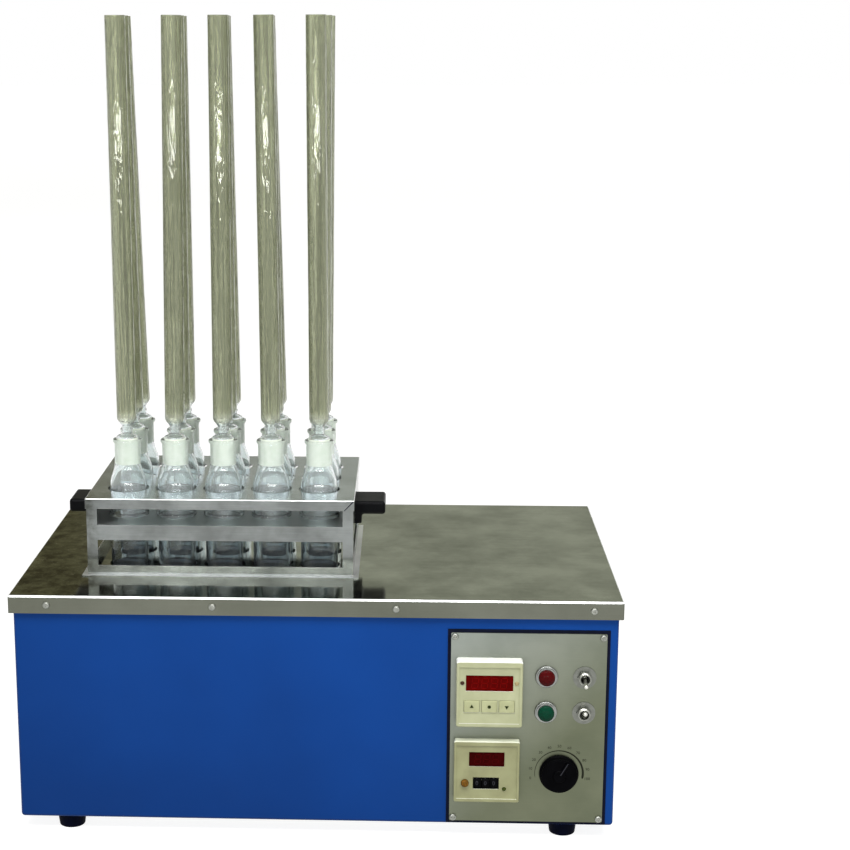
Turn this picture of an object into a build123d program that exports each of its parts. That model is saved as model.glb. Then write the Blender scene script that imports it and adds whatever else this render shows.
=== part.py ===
from build123d import *
import math
import os

# Chemical oxygen demand reactor: a bench heater with fifteen digestion vessels, each closed by a tall
# air condenser, standing in a lift-off rack over a bored aluminium block.
# Frame: +X to the right seen from the front, +Y to the back, +Z up. The origin is on the bench, under the
# centre of the footprint. All sizes are in millimetres. Heights on the control panel, the back panel and the
# heating block are measured from the underside of the casing; heights on the rack and the glass vessels from
# the top of the stainless cover; heights on a condenser from its vessel's rim.

# How far a cutting shape runs past the face it opens, and how far a joined shape sinks into its neighbour.
PAST = 1.0
# Share of a long slot's width that rounds each of its ends.
SLOT_END_SHARE = 0.498

# ---- casing and cover
COVER_W = 660.0
COVER_D = 400.0
COVER_T = 1.2
COVER_SKIRT = 20.0
COVER_EDGE_R = 2.4
OVERHANG = 4.5
FOOT_H = 15.0
BODY_H = 255.8
CASING_T = 1.5
CASING_EDGE_R = 4.0
FLOOR_FLANGE = 30.0
FLOOR_PLATE_T = 1.5
FLOOR_PLATE_INSET = 3.0

# ---- screws shared by the casing
SCREW_HEAD_R = 3.75
SCREW_HEAD_H = 2.4
SCREW_DOME_R = 1.6
SCREW_SHANK_R = 2.0
SCREW_LENGTH = 12.0
SCREW_FIT = 0.15
SCREW_SLOT_W = 0.9
SCREW_SLOT_L = 4.6
SCREW_SLOT_DEPTH = 1.2
SKIRT_SCREW_FROM_LEFT = [42.0, 221.0]
SKIRT_SCREW_FROM_RIGHT = [242.0, 32.0]
SKIRT_SCREW_SIDE_INSET = 60.0
SKIRT_SCREW_DROP = 10.4

# ---- rubber feet
FOOT_TOP_R = 16.0
FOOT_BASE_R = 14.0
FOOT_EDGE_R = 1.2
FOOT_FROM_END = 58.0
FOOT_FROM_FRONT = 24.0
FOOT_WELL_R = 4.6
FOOT_WELL_DEPTH = 8.0

# ---- control panel: a brushed plate on a dark gasket at the right end of the front
PANEL_FROM_END = 100.0
PANEL_Z = 113.0
PANEL_W = 166.0
PANEL_H = 215.0
PANEL_T = 2.0
PANEL_CORNER_R = 1.5
GASKET_T = 1.0
GASKET_BORDER = 3.5
PANEL_OPENING_MARGIN = 7.5
PANEL_SCREW_INSET = 4.0

# ---- temperature controller; places named DX are sideways from the panel's middle
CONTROLLER_DX = -41.9
CONTROLLER_Z = 155.4
CONTROLLER_W = 71.0
CONTROLLER_H = 75.0
CONTROLLER_PROUD = 12.0
CONTROLLER_EDGE_R = 3.0
CONTROLLER_BODY = 66.0
CONTROLLER_DEPTH = 80.0
CONTROLLER_RIM = 3.2
CONTROLLER_RIM_TOP = 7.0
CONTROLLER_RIM_BOTTOM = 4.5
CONTROLLER_FACE_DEPTH = 1.2
BEZEL_FRONT_SHARE = 0.6
CUTOUT_FIT = 0.5
WINDOW_T = 1.6
WINDOW_FIT = 0.2
WINDOW_SUNK = 0.5
CONTROLLER_WINDOW_W = 50.6
CONTROLLER_WINDOW_H = 17.8
CONTROLLER_WINDOW_Z = 167.7
LED_R = 2.2
LED_T = 2.0
LED_PROUD = 0.7
CONTROLLER_LED_DX = 29.0
KEY_PITCH = 18.7
KEY_W = 16.4
KEY_H = 13.4
KEY_Z = 141.6
KEY_T = 3.0
KEY_PROUD = 1.0
KEY_FIT = 0.4
KEY_TRAVEL = 0.8
KEY_EDGE_R = 0.6
KEY_MARK_R = 2.0
KEY_MARK_H = 0.3
KEY_DOT_R = 1.6

# ---- timer
TIMER_DX = -43.4
TIMER_Z = 65.9
TIMER_W = 70.7
TIMER_H = 70.2
TIMER_PROUD = 9.0
TIMER_EDGE_R = 2.0
TIMER_BODY_W = 62.0
TIMER_BODY_H = 62.0
TIMER_DEPTH = 70.0
TIMER_RIM = 2.6
TIMER_RIM_TOP = 5.0
TIMER_RIM_BOTTOM = 4.0
TIMER_FACE_DEPTH = 1.2
TIMER_WINDOW_W = 38.3
TIMER_WINDOW_H = 16.6
TIMER_WINDOW_Z = 80.0
WHEEL_DX = -44.0
WHEEL_Z = 52.5
WHEEL_R = 11.0
WHEEL_W = 8.2
WHEEL_PITCH = 9.0
WHEEL_GUARD_W = 28.1
WHEEL_GUARD_H = 13.6
WHEEL_GUARD_T = 1.0
WHEEL_PROUD = 0.4
WHEEL_FIT = 0.6
WHEEL_AXLE_R = 1.5
WHEEL_AXLE_FIT = 0.05
WHEEL_TEETH = 20
WHEEL_NOTCH_R = 0.9
WHEEL_NOTCH_OUT = 0.27
WHEEL_NOTCH_L = 1.6
TIMER_BUTTON_DX = -66.7
TIMER_BUTTON_Z = 52.6
TIMER_BUTTON_R = 4.1
TIMER_BUTTON_PROUD = 3.2
TIMER_BUTTON_T = 7.0
TIMER_BUTTON_EDGE_R = 1.6
TIMER_BUTTON_FIT = 0.3
TIMER_BUTTON_TRAVEL = 1.5
TIMER_LED_DX = -24.2
TIMER_LED_Z = 46.1

# ---- pilot lamps
LAMP_DX = 19.3
RED_LAMP_Z = 172.7
GREEN_LAMP_Z = 132.6
LAMP_RING_R = 12.2
LAMP_RING_H = 3.0
LAMP_RING_EDGE_R = 1.2
LAMP_COLLAR_R = 10.4
LAMP_COLLAR_H = 5.0
LAMP_BODY_R = 8.0
LAMP_BODY_DEPTH = 30.0
LENS_R = 8.8
LENS_SEAT = 2.0
LENS_SIDE_H = 6.0
LENS_DOME_H = 3.5
LENS_FIT = 0.1

# ---- toggle switches
TOGGLE_DX = 60.0
TOGGLE_UPPER_Z = 171.8
TOGGLE_LOWER_Z = 131.9
TOGGLE_PLATE_R = 12.4
TOGGLE_PLATE_T = 0.8
TOGGLE_NUT_ACROSS = 14.0
TOGGLE_NUT_T = 2.4
TOGGLE_BUSH_R = 5.9
TOGGLE_BUSH_PROUD = 8.0
TOGGLE_BODY_W = 17.0
TOGGLE_BODY_H = 28.0
TOGGLE_BODY_DEPTH = 24.0
TOGGLE_MOUTH_R = 4.9
TOGGLE_SEAT_R = 3.25
TOGGLE_SEAT_IN = 5.0
TOGGLE_SEAT_OUT = 2.0
LEVER_PIVOT_IN = 1.0
LEVER_BALL_R = 3.15
LEVER_ROOT_R = 1.5
LEVER_TIP_R = 2.5
LEVER_LENGTH = 18.0
LEVER_TILT = 15.0

# ---- power regulator and its knob
KNOB_DX = 35.0
KNOB_Z = 62.0
KNOB_R = 21.3
KNOB_BODY_R = 19.6
KNOB_T = 8.0
KNOB_SKIRT_T = 2.5
KNOB_SKIRT_EDGE_R = 0.8
KNOB_SKIRT_SLOPE = 1.0
KNOB_EDGE_R = 1.2
KNOB_GAP = 0.5
KNOB_BAR_W = 5.0
KNOB_BAR_H = 2.0
KNOB_BAR_INSET = 1.0
KNOB_HUB_R = 7.0
KNOB_POINTER_DEG = 59.4
SHAFT_R = 3.0
SHAFT_FIT = 0.05
SHAFT_LENGTH = 16.0
REGULATOR_BUSH_R = 5.0
REGULATOR_BUSH_PROUD = 0.3
REGULATOR_W = 46.0
REGULATOR_H = 42.0
REGULATOR_DEPTH = 32.0
PANEL_HOLE_FIT = 0.2

# ---- vessel grid, shared by the rack, the cover holes, the block and the glass
GRID_COLUMNS = 5
GRID_ROWS = 3
GRID_PITCH = 54.0
GRID_FROM_LEFT = 222.0
GRID_FROM_FRONT = 183.0

# ---- rack
RACK_W = 298.0
RACK_D = 212.0
RACK_H = 88.0
RACK_T = 1.2
RACK_EDGE_R = 1.0
RACK_LIP = 11.7
RACK_POST = 13.0
RACK_HOLE_R = 23.2
RACK_FLANGE = 4.7
UPPER_WINDOW = (57.7, 76.3)
LOWER_WINDOW = (11.2, 40.5)
SHELF_TOP = 57.7
SHELF_FLANGE = 12.0
SHELF_T = 1.5
SHELF_HOLE_R = 21.6
HANDLE_REACH = 33.0
HANDLE_LENGTH = 50.0
HANDLE_T = 15.0
HANDLE_DROP = 22.0
HANDLE_PAD_T = 7.0
HANDLE_PAD_H = 25.4
HANDLE_EDGE_R = 3.5
HANDLE_SCREW_DY = 15.0
HANDLE_SCREW_Z = 46.0
HANDLE_SCREW_LENGTH = 7.0

# ---- glass vessels
VESSEL_R = 21.0
VESSEL_WALL = 2.0
VESSEL_FLOOR = 2.2
VESSEL_DEPTH = 68.0
VESSEL_SHOULDER = 96.0
VESSEL_NECK_Z = 113.0
VESSEL_NECK_R = 14.6
VESSEL_NECK_BORE_R = 12.6
VESSEL_RIM_Z = 145.0
VESSEL_RIM_R = 16.4
VESSEL_RIM_H = 4.0
VESSEL_BEAD_R = 22.7
VESSEL_BEAD_H = 4.0
VESSEL_BEAD_EDGE_R = 1.2
VESSEL_BEAD_ROOT_R = 0.6
VESSEL_BASE_ROUND = 7.0
VESSEL_SHOULDER_ROUND = 9.0
VESSEL_NECK_ROUND = 6.0
VESSEL_RIM_ROUND = 1.5
VESSEL_INNER_DROP = 1.5
VESSEL_INNER_BASE_ROUND = 5.0
VESSEL_INNER_SHOULDER_ROUND = 8.0

# ---- ground joint, taper 1 in 10 on the diameter
JOINT_TAPER = 0.05
JOINT_LENGTH = 29.0
JOINT_TOP_R = 12.0
JOINT_ABOVE_RIM = 3.0
JOINT_FIT = 0.3

# ---- air condensers: cone, neck with a small knot, and a long tube that leans a little from the knot up
CONE_BORE_TOP_R = 9.8
CONE_BORE_BASE_R = 8.6
CONE_BORE_TOP_Z = 1.0
CONE_BORE_ROUND = 1.2
CONE_SHOULDER_ROUND = 1.5
NECK_R = 5.75
NECK_BORE_R = 3.75
NECK_ROUND = 0.8
NECK_Z = 6.0
KNOT_Z = 10.5
KNOT_R = 6.7
KNOT_BORE_R = 4.7
TUBE_BASE_Z = 15.0
TUBE_SHOULDER_Z = 22.0
TUBE_R = 11.0
TUBE_WALL = 1.7
TUBE_TOP = 609.0
GLASS_ROUND_R = 3.0
TUBE_LEAN_DEG = {
    "front": [-0.2, 0.65, 0.15, -0.5, -0.25],
    "middle": [-0.8, 0.2, -0.3, -0.9, 0.3],
    "back": [-1.5, -0.25, -0.8, -1.3, 0.45],
}

# ---- heating block, its heaters and its insulation
COVER_HOLE_R = 23.0
BLOCK_W = 286.0
BLOCK_BASE = 169.0
BLOCK_TOP = 252.0
WELL_R = 22.25
WELL_FLOOR_GAP = 1.5
HEATER_R = 5.0
HEATER_FIT = 0.15
HEATER_PITCH = 54.0
HEATER_COUNT = 4
HEATER_FROM_SIDE = 8.0
BLOCK_D = (HEATER_COUNT - 1) * HEATER_PITCH + 2 * HEATER_FROM_SIDE
HEATER_RISE = 9.0
HEATER_OUT = 10.0
INSULATION_T = 20.0
INSULATION_FIT = 0.5
LEAD_HOLE_R = 7.0
TRAY_T = 1.2
TRAY_LEG_R = 7.0
TRAY_LEG_INSET = 16.0
PROBE_R = 2.5
PROBE_FIT = 0.15
PROBE_IN = 50.0
PROBE_RISE = 46.0
PROBE_HOLE_R = 3.5
PROBE_HEAD_R = 6.0
PROBE_HEAD_L = 10.0

# ---- back panel, power inlet and solid-state relay
BACK_PANEL_FROM_END = 125.0
BACK_PANEL_Z = 110.0
BACK_PANEL_W = 210.0
BACK_PANEL_H = 160.0
BACK_PANEL_T = 1.5
BACK_PANEL_OVERLAP = 14.0
BACK_SCREW_INSET = 7.0
VENT_COUNT = 7
VENT_PITCH = 10.0
VENT_W = 110.0
VENT_H = 4.0
VENT_Z = 20.0
INLET_DX = 0.0
INLET_DZ = -45.0
INLET_FLANGE_W = 32.0
INLET_FLANGE_H = 25.0
INLET_FLANGE_T = 2.5
INLET_FLANGE_EDGE_R = 1.0
INLET_FLANGE_CORNER_R = 2.0
INLET_BODY_W = 27.4
INLET_BODY_H = 19.8
INLET_BODY_DEPTH = 20.0
INLET_SOCKET_W = 24.2
INLET_SOCKET_H = 16.4
INLET_SOCKET_DEPTH = 17.0
INLET_CORNER = 4.0
INLET_PIN_L = 14.0
INLET_PIN_T = 2.0
INLET_PIN_H = 4.0
INLET_PIN_DX = 7.0
INLET_PIN_DZ = 2.0
RELAY_FROM_END = 220.0
RELAY_FROM_FRONT = 300.0
RELAY_W = 45.0
RELAY_D = 58.0
RELAY_H = 28.0
RELAY_TAB = 6.0
RELAY_TAB_H = 4.0
FLOOR_VENT_COUNT = 8
FLOOR_VENT_PITCH = 14.0
FLOOR_VENT_W = 5.0
FLOOR_VENT_L = 70.0
FLOOR_VENT_FROM_END = 100.0
FLOOR_VENT_FROM_FRONT = 200.0

# ---- derived places
LEVER_FORWARD = LEVER_LENGTH * math.cos(math.radians(LEVER_TILT)) + LEVER_TIP_R - LEVER_PIVOT_IN
FRONT_REACH = LEVER_FORWARD + PANEL_T + GASKET_T - OVERHANG
COVER_FRONT = -(COVER_D + SCREW_HEAD_H - FRONT_REACH) / 2
COVER_BACK = COVER_FRONT + COVER_D
BODY_W = COVER_W - 2 * OVERHANG
BODY_FRONT = COVER_FRONT + OVERHANG
BODY_BACK = COVER_BACK - OVERHANG
BODY_TOP = FOOT_H + BODY_H
COVER_TOP = BODY_TOP + COVER_T
PANEL_X = COVER_W / 2 - PANEL_FROM_END
CONTROLLER_X = PANEL_X + CONTROLLER_DX
TIMER_X = PANEL_X + TIMER_DX
WHEEL_X = PANEL_X + WHEEL_DX
TIMER_BUTTON_X = PANEL_X + TIMER_BUTTON_DX
TIMER_LED_X = PANEL_X + TIMER_LED_DX
LAMP_X = PANEL_X + LAMP_DX
TOGGLE_X = PANEL_X + TOGGLE_DX
KNOB_X = PANEL_X + KNOB_DX
BACK_PANEL_X = COVER_W / 2 - BACK_PANEL_FROM_END
PANEL_BACK = BODY_FRONT - GASKET_T
PANEL_FACE = PANEL_BACK - PANEL_T
GRID_X = GRID_FROM_LEFT - COVER_W / 2
GRID_CENTRE_Y = COVER_FRONT + GRID_FROM_FRONT
RACK_TOP = COVER_TOP + RACK_H
CONTROLLER_FACE = PANEL_FACE - CONTROLLER_PROUD + CONTROLLER_FACE_DEPTH
TIMER_FACE = PANEL_FACE - TIMER_PROUD + TIMER_FACE_DEPTH
ROW_NAMES = ["front", "middle", "back"]

os.makedirs("parts", exist_ok=True)


# ---- shared shapes

def block(x0, x1, y0, y1, z0, z1):
    return Pos((x0 + x1) / 2, (y0 + y1) / 2, (z0 + z1) / 2) * Box(x1 - x0, y1 - y0, z1 - z0)


def plate(x, z, width, height, y0, y1):
    return block(x - width / 2, x + width / 2, y0, y1, z - height / 2, z + height / 2)


def post(radius, x, y, z0, z1):
    return Pos(x, y, (z0 + z1) / 2) * Cylinder(radius, z1 - z0)


def rod_along_y(radius, x, z, y0, y1):
    return Pos(x, (y0 + y1) / 2, z) * Rot(90, 0, 0) * Cylinder(radius, y1 - y0)


def rod_along_x(radius, y, z, x0, x1):
    return Pos((x0 + x1) / 2, y, z) * Rot(0, 90, 0) * Cylinder(radius, x1 - x0)


def turned(points, rounds=()):
    """Body of revolution about Z from (radius, height) corners; rounds holds (corner, radius) pairs."""
    outline = make_face(Polyline(*points, close=True))
    for corner, radius in rounds:
        nearest = outline.vertices().sort_by_distance(Vector(*points[corner]))[0]
        outline = fillet(nearest, radius)
    return revolve(Plane.XZ * outline, Axis.Z)


def rounded(body, axis, radius):
    return fillet(body.edges().filter_by(axis), radius)


def together(bodies):
    return Compound(children=[solid for body in bodies for solid in body.solids()])


def save(body, node):
    export_step(body, os.path.join("parts", node + ".step"))


def above_body(height):
    return FOOT_H + height


def pan_screw(length):
    """Cross-recessed pan head, seated at z = 0 with its shank going down."""
    head = turned(
        [(0, 0), (SCREW_HEAD_R, 0), (SCREW_HEAD_R, SCREW_HEAD_H), (0, SCREW_HEAD_H)],
        [(2, SCREW_DOME_R)],
    )
    screw = head + post(SCREW_SHANK_R, 0, 0, -length, 0)
    slot_z = SCREW_HEAD_H - SCREW_SLOT_DEPTH / 2
    for turn in (0, 90):
        screw -= Pos(0, 0, slot_z) * Rot(0, 0, turn) * Box(SCREW_SLOT_L, SCREW_SLOT_W, SCREW_SLOT_DEPTH)
    return screw


def facing_front(x, y, z):
    return Pos(x, y, z) * Rot(90, 0, 0)


def facing_back(x, y, z):
    return Pos(x, y, z) * Rot(-90, 0, 0)


def facing_side(side, x, y, z):
    return Pos(x, y, z) * Rot(0, 90 * side, 0)


def facing_down(x, y, z):
    return Pos(x, y, z) * Rot(180, 0, 0)


# ---- patterns

def grid_places():
    places = []
    for row in range(GRID_ROWS):
        for column in range(GRID_COLUMNS):
            x = GRID_X + (column - (GRID_COLUMNS - 1) / 2) * GRID_PITCH
            y = GRID_CENTRE_Y + (row - (GRID_ROWS - 1) / 2) * GRID_PITCH
            places.append((row, column, x, y))
    return places


def foot_places():
    x = COVER_W / 2 - FOOT_FROM_END
    ys = (COVER_FRONT + FOOT_FROM_FRONT, COVER_BACK - FOOT_FROM_FRONT)
    return [(side * x, y) for side in (-1, 1) for y in ys]


def skirt_screw_seats():
    z = COVER_TOP - SKIRT_SCREW_DROP
    xs = [x - COVER_W / 2 for x in SKIRT_SCREW_FROM_LEFT] + [COVER_W / 2 - x for x in SKIRT_SCREW_FROM_RIGHT]
    ys = [COVER_FRONT + SKIRT_SCREW_SIDE_INSET, COVER_BACK - SKIRT_SCREW_SIDE_INSET]
    seats = [facing_front(x, COVER_FRONT, z) for x in xs]
    seats += [facing_back(x, COVER_BACK, z) for x in xs]
    for side in (-1, 1):
        seats += [facing_side(side, side * COVER_W / 2, y, z) for y in ys]
    return seats


def panel_screw_seats():
    dx = PANEL_W / 2 - PANEL_SCREW_INSET
    dz = PANEL_H / 2 - PANEL_SCREW_INSET
    centre = above_body(PANEL_Z)
    return [facing_front(PANEL_X + i * dx, PANEL_FACE, centre + j * dz) for i in (-1, 1) for j in (-1, 1)]


def back_screw_seats():
    dx = BACK_PANEL_W / 2 - BACK_SCREW_INSET
    dz = BACK_PANEL_H / 2 - BACK_SCREW_INSET
    y = BODY_BACK + BACK_PANEL_T
    centre = above_body(BACK_PANEL_Z)
    return [facing_back(BACK_PANEL_X + i * dx, y, centre + j * dz) for i in (-1, 0, 1) for j in (-1, 1)]


def foot_screw_seats():
    return [facing_down(x, y, FOOT_WELL_DEPTH) for x, y in foot_places()]


def shank_holes(seats):
    """Clearance bores for the shanks of the screws seated at these places."""
    drill = post(SCREW_SHANK_R + SCREW_FIT, 0, 0, -SCREW_LENGTH - PAST, PAST)
    return [seat * drill for seat in seats]


def cut(body, tools):
    for tool in tools:
        body -= tool
    return body


# ---- casing

def casing():
    shell = block(-BODY_W / 2, BODY_W / 2, BODY_FRONT, BODY_BACK, FOOT_H, BODY_TOP)
    shell = rounded(shell, Axis.Z, CASING_EDGE_R)
    shell = fillet(shell.faces().sort_by(Axis.Z)[0].edges(), CASING_EDGE_R)
    inside_w = BODY_W / 2 - CASING_T
    hollow = block(
        -inside_w, inside_w, BODY_FRONT + CASING_T, BODY_BACK - CASING_T, FOOT_H + CASING_T, BODY_TOP + PAST
    )
    inner_r = CASING_EDGE_R - CASING_T
    hollow = rounded(hollow, Axis.Z, inner_r)
    hollow = fillet(hollow.faces().sort_by(Axis.Z)[0].edges(), inner_r)
    shell -= hollow
    floor_w = BODY_W / 2 - FLOOR_FLANGE
    shell -= block(
        -floor_w,
        floor_w,
        BODY_FRONT + FLOOR_FLANGE,
        BODY_BACK - FLOOR_FLANGE,
        FOOT_H - PAST,
        FOOT_H + CASING_T + PAST,
    )
    shell -= plate(
        PANEL_X,
        above_body(PANEL_Z),
        PANEL_W - 2 * PANEL_OPENING_MARGIN,
        PANEL_H - 2 * PANEL_OPENING_MARGIN,
        BODY_FRONT - PAST,
        BODY_FRONT + CASING_T + PAST,
    )
    shell -= plate(
        BACK_PANEL_X,
        above_body(BACK_PANEL_Z),
        BACK_PANEL_W - 2 * BACK_PANEL_OVERLAP,
        BACK_PANEL_H - 2 * BACK_PANEL_OVERLAP,
        BODY_BACK - CASING_T - PAST,
        BODY_BACK + PAST,
    )
    seats = skirt_screw_seats() + panel_screw_seats() + back_screw_seats() + foot_screw_seats()
    return cut(shell, shank_holes(seats))


def bottom_plate():
    inset = CASING_T + FLOOR_PLATE_INSET
    z0 = FOOT_H + CASING_T
    floor = block(
        inset - BODY_W / 2, BODY_W / 2 - inset, BODY_FRONT + inset, BODY_BACK - inset, z0, z0 + FLOOR_PLATE_T
    )
    for n in range(FLOOR_VENT_COUNT):
        x = COVER_W / 2 - FLOOR_VENT_FROM_END + (n - (FLOOR_VENT_COUNT - 1) / 2) * FLOOR_VENT_PITCH
        y = COVER_FRONT + FLOOR_VENT_FROM_FRONT
        slot = block(
            x - FLOOR_VENT_W / 2,
            x + FLOOR_VENT_W / 2,
            y - FLOOR_VENT_L / 2,
            y + FLOOR_VENT_L / 2,
            z0 - PAST,
            z0 + FLOOR_PLATE_T + PAST,
        )
        floor -= rounded(slot, Axis.Z, FLOOR_VENT_W * SLOT_END_SHARE)
    return cut(floor, shank_holes(foot_screw_seats()))


def top_cover():
    """Folded stainless lid whose skirt hangs outside the casing."""
    lid = block(-COVER_W / 2, COVER_W / 2, COVER_FRONT, COVER_BACK, COVER_TOP - COVER_SKIRT, COVER_TOP)
    lid = rounded(lid, Axis.Z, COVER_EDGE_R)
    lid = fillet(lid.faces().sort_by(Axis.Z)[-1].edges(), COVER_EDGE_R)
    inner_w = COVER_W / 2 - COVER_T
    skirt_end = COVER_TOP - COVER_SKIRT - PAST
    hollow = block(-inner_w, inner_w, COVER_FRONT + COVER_T, COVER_BACK - COVER_T, skirt_end, BODY_TOP)
    hollow = rounded(hollow, Axis.Z, COVER_EDGE_R - COVER_T)
    lid -= fillet(hollow.faces().sort_by(Axis.Z)[-1].edges(), COVER_EDGE_R - COVER_T)
    for _, _, x, y in grid_places():
        lid -= post(COVER_HOLE_R, x, y, BODY_TOP - PAST, COVER_TOP + PAST)
    return cut(lid, shank_holes(skirt_screw_seats()))


def case_screws():
    screw = pan_screw(SCREW_LENGTH)
    seats = skirt_screw_seats() + panel_screw_seats() + back_screw_seats() + foot_screw_seats()
    return together([seat * screw for seat in seats])


def rubber_feet():
    hole_r = SCREW_SHANK_R + SCREW_FIT
    foot = turned(
        [
            (FOOT_WELL_R, 0),
            (FOOT_BASE_R, 0),
            (FOOT_TOP_R, FOOT_H),
            (hole_r, FOOT_H),
            (hole_r, FOOT_WELL_DEPTH),
            (FOOT_WELL_R, FOOT_WELL_DEPTH),
        ],
        [(1, FOOT_EDGE_R)],
    )
    return together([Pos(x, y, 0) * foot for x, y in foot_places()])


# ---- control panel

def panel_gasket():
    z = above_body(PANEL_Z)
    gasket = plate(
        PANEL_X, z, PANEL_W + 2 * GASKET_BORDER, PANEL_H + 2 * GASKET_BORDER, PANEL_BACK, BODY_FRONT
    )
    gasket -= plate(
        PANEL_X,
        z,
        PANEL_W - 2 * PANEL_OPENING_MARGIN,
        PANEL_H - 2 * PANEL_OPENING_MARGIN,
        PANEL_BACK - PAST,
        BODY_FRONT + PAST,
    )
    return cut(gasket, shank_holes(panel_screw_seats()))


def control_panel():
    y0, y1 = PANEL_FACE - PAST, PANEL_BACK + PAST
    face = rounded(
        plate(PANEL_X, above_body(PANEL_Z), PANEL_W, PANEL_H, PANEL_FACE, PANEL_BACK), Axis.Y, PANEL_CORNER_R
    )
    controller_hole = CONTROLLER_BODY + 2 * CUTOUT_FIT
    face -= plate(CONTROLLER_X, above_body(CONTROLLER_Z), controller_hole, controller_hole, y0, y1)
    face -= plate(
        TIMER_X, above_body(TIMER_Z), TIMER_BODY_W + 2 * CUTOUT_FIT, TIMER_BODY_H + 2 * CUTOUT_FIT, y0, y1
    )
    for z in (RED_LAMP_Z, GREEN_LAMP_Z):
        face -= rod_along_y(LAMP_BODY_R + PANEL_HOLE_FIT, LAMP_X, above_body(z), y0, y1)
    for z in (TOGGLE_UPPER_Z, TOGGLE_LOWER_Z):
        face -= rod_along_y(TOGGLE_BUSH_R + PANEL_HOLE_FIT, TOGGLE_X, above_body(z), y0, y1)
    face -= rod_along_y(REGULATOR_BUSH_R + PANEL_HOLE_FIT, KNOB_X, above_body(KNOB_Z), y0, y1)
    return cut(face, shank_holes(panel_screw_seats()))


# ---- temperature controller

def bezel(x, z, width, height, proud, edge_r):
    body = plate(x, z, width, height, PANEL_FACE - proud, PANEL_FACE)
    body = rounded(body, Axis.Y, edge_r)
    return fillet(body.faces().sort_by(Axis.Y)[0].edges(), edge_r * BEZEL_FRONT_SHARE)


def face_recess(x, z, width, height, rim, rim_top, rim_bottom, proud, depth):
    centre = z + (rim_bottom - rim_top) / 2
    y0 = PANEL_FACE - proud
    return plate(x, centre, width - 2 * rim, height - rim_top - rim_bottom, y0 - PAST, y0 + depth)


def key_places():
    return [CONTROLLER_X + n * KEY_PITCH for n in (-1, 0, 1)]


def controller_case():
    z = above_body(CONTROLLER_Z)
    case = bezel(CONTROLLER_X, z, CONTROLLER_W, CONTROLLER_H, CONTROLLER_PROUD, CONTROLLER_EDGE_R)
    case += plate(
        CONTROLLER_X, z, CONTROLLER_BODY, CONTROLLER_BODY, PANEL_FACE, PANEL_FACE + CONTROLLER_DEPTH
    )
    case -= face_recess(
        CONTROLLER_X,
        z,
        CONTROLLER_W,
        CONTROLLER_H,
        CONTROLLER_RIM,
        CONTROLLER_RIM_TOP,
        CONTROLLER_RIM_BOTTOM,
        CONTROLLER_PROUD,
        CONTROLLER_FACE_DEPTH,
    )
    window_z = above_body(CONTROLLER_WINDOW_Z)
    case -= plate(
        CONTROLLER_X,
        window_z,
        CONTROLLER_WINDOW_W,
        CONTROLLER_WINDOW_H,
        CONTROLLER_FACE - PAST,
        CONTROLLER_FACE + WINDOW_SUNK + WINDOW_T,
    )
    for side in (-1, 1):
        x = CONTROLLER_X + side * CONTROLLER_LED_DX
        case -= rod_along_y(
            LED_R + WINDOW_FIT, x, window_z, CONTROLLER_FACE - PAST, CONTROLLER_FACE + LED_T - LED_PROUD
        )
    pocket_depth = KEY_T - KEY_PROUD + KEY_TRAVEL + KEY_FIT
    for x in key_places():
        case -= plate(
            x,
            above_body(KEY_Z),
            KEY_W + 2 * KEY_FIT,
            KEY_H + 2 * KEY_FIT,
            CONTROLLER_FACE - PAST,
            CONTROLLER_FACE + pocket_depth,
        )
    return case


def display_window(x, z, width, height, face):
    return plate(
        x,
        above_body(z),
        width - 2 * WINDOW_FIT,
        height - 2 * WINDOW_FIT,
        face + WINDOW_SUNK,
        face + WINDOW_SUNK + WINDOW_T,
    )


def indicator(x, z, face):
    """Small domed lamp, seated in its pocket and standing a little proud of the face."""
    dome = turned([(0, 0), (LED_R, 0), (LED_R, LED_T), (0, LED_T)], [(2, LED_PROUD)])
    return facing_front(x, face + LED_T - LED_PROUD, above_body(z)) * dome


def controller_leds():
    return together(
        [
            indicator(CONTROLLER_X + side * CONTROLLER_LED_DX, CONTROLLER_WINDOW_Z, CONTROLLER_FACE)
            for side in (-1, 1)
        ]
    )


def key_mark(sides, turn):
    if sides:
        return Rot(0, 0, turn) * extrude(RegularPolygon(KEY_MARK_R, sides), KEY_MARK_H)
    return post(KEY_DOT_R, 0, 0, 0, KEY_MARK_H)


def controller_key(x, sides, turn):
    y0 = CONTROLLER_FACE - KEY_PROUD
    key = plate(x, above_body(KEY_Z), KEY_W, KEY_H, y0, y0 + KEY_T)
    key = fillet(key.faces().sort_by(Axis.Y)[0].edges(), KEY_EDGE_R)
    return key + facing_front(x, y0, above_body(KEY_Z)) * key_mark(sides, turn)


# ---- timer

def wheel_centre_y():
    return TIMER_FACE - WHEEL_PROUD + WHEEL_R


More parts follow.
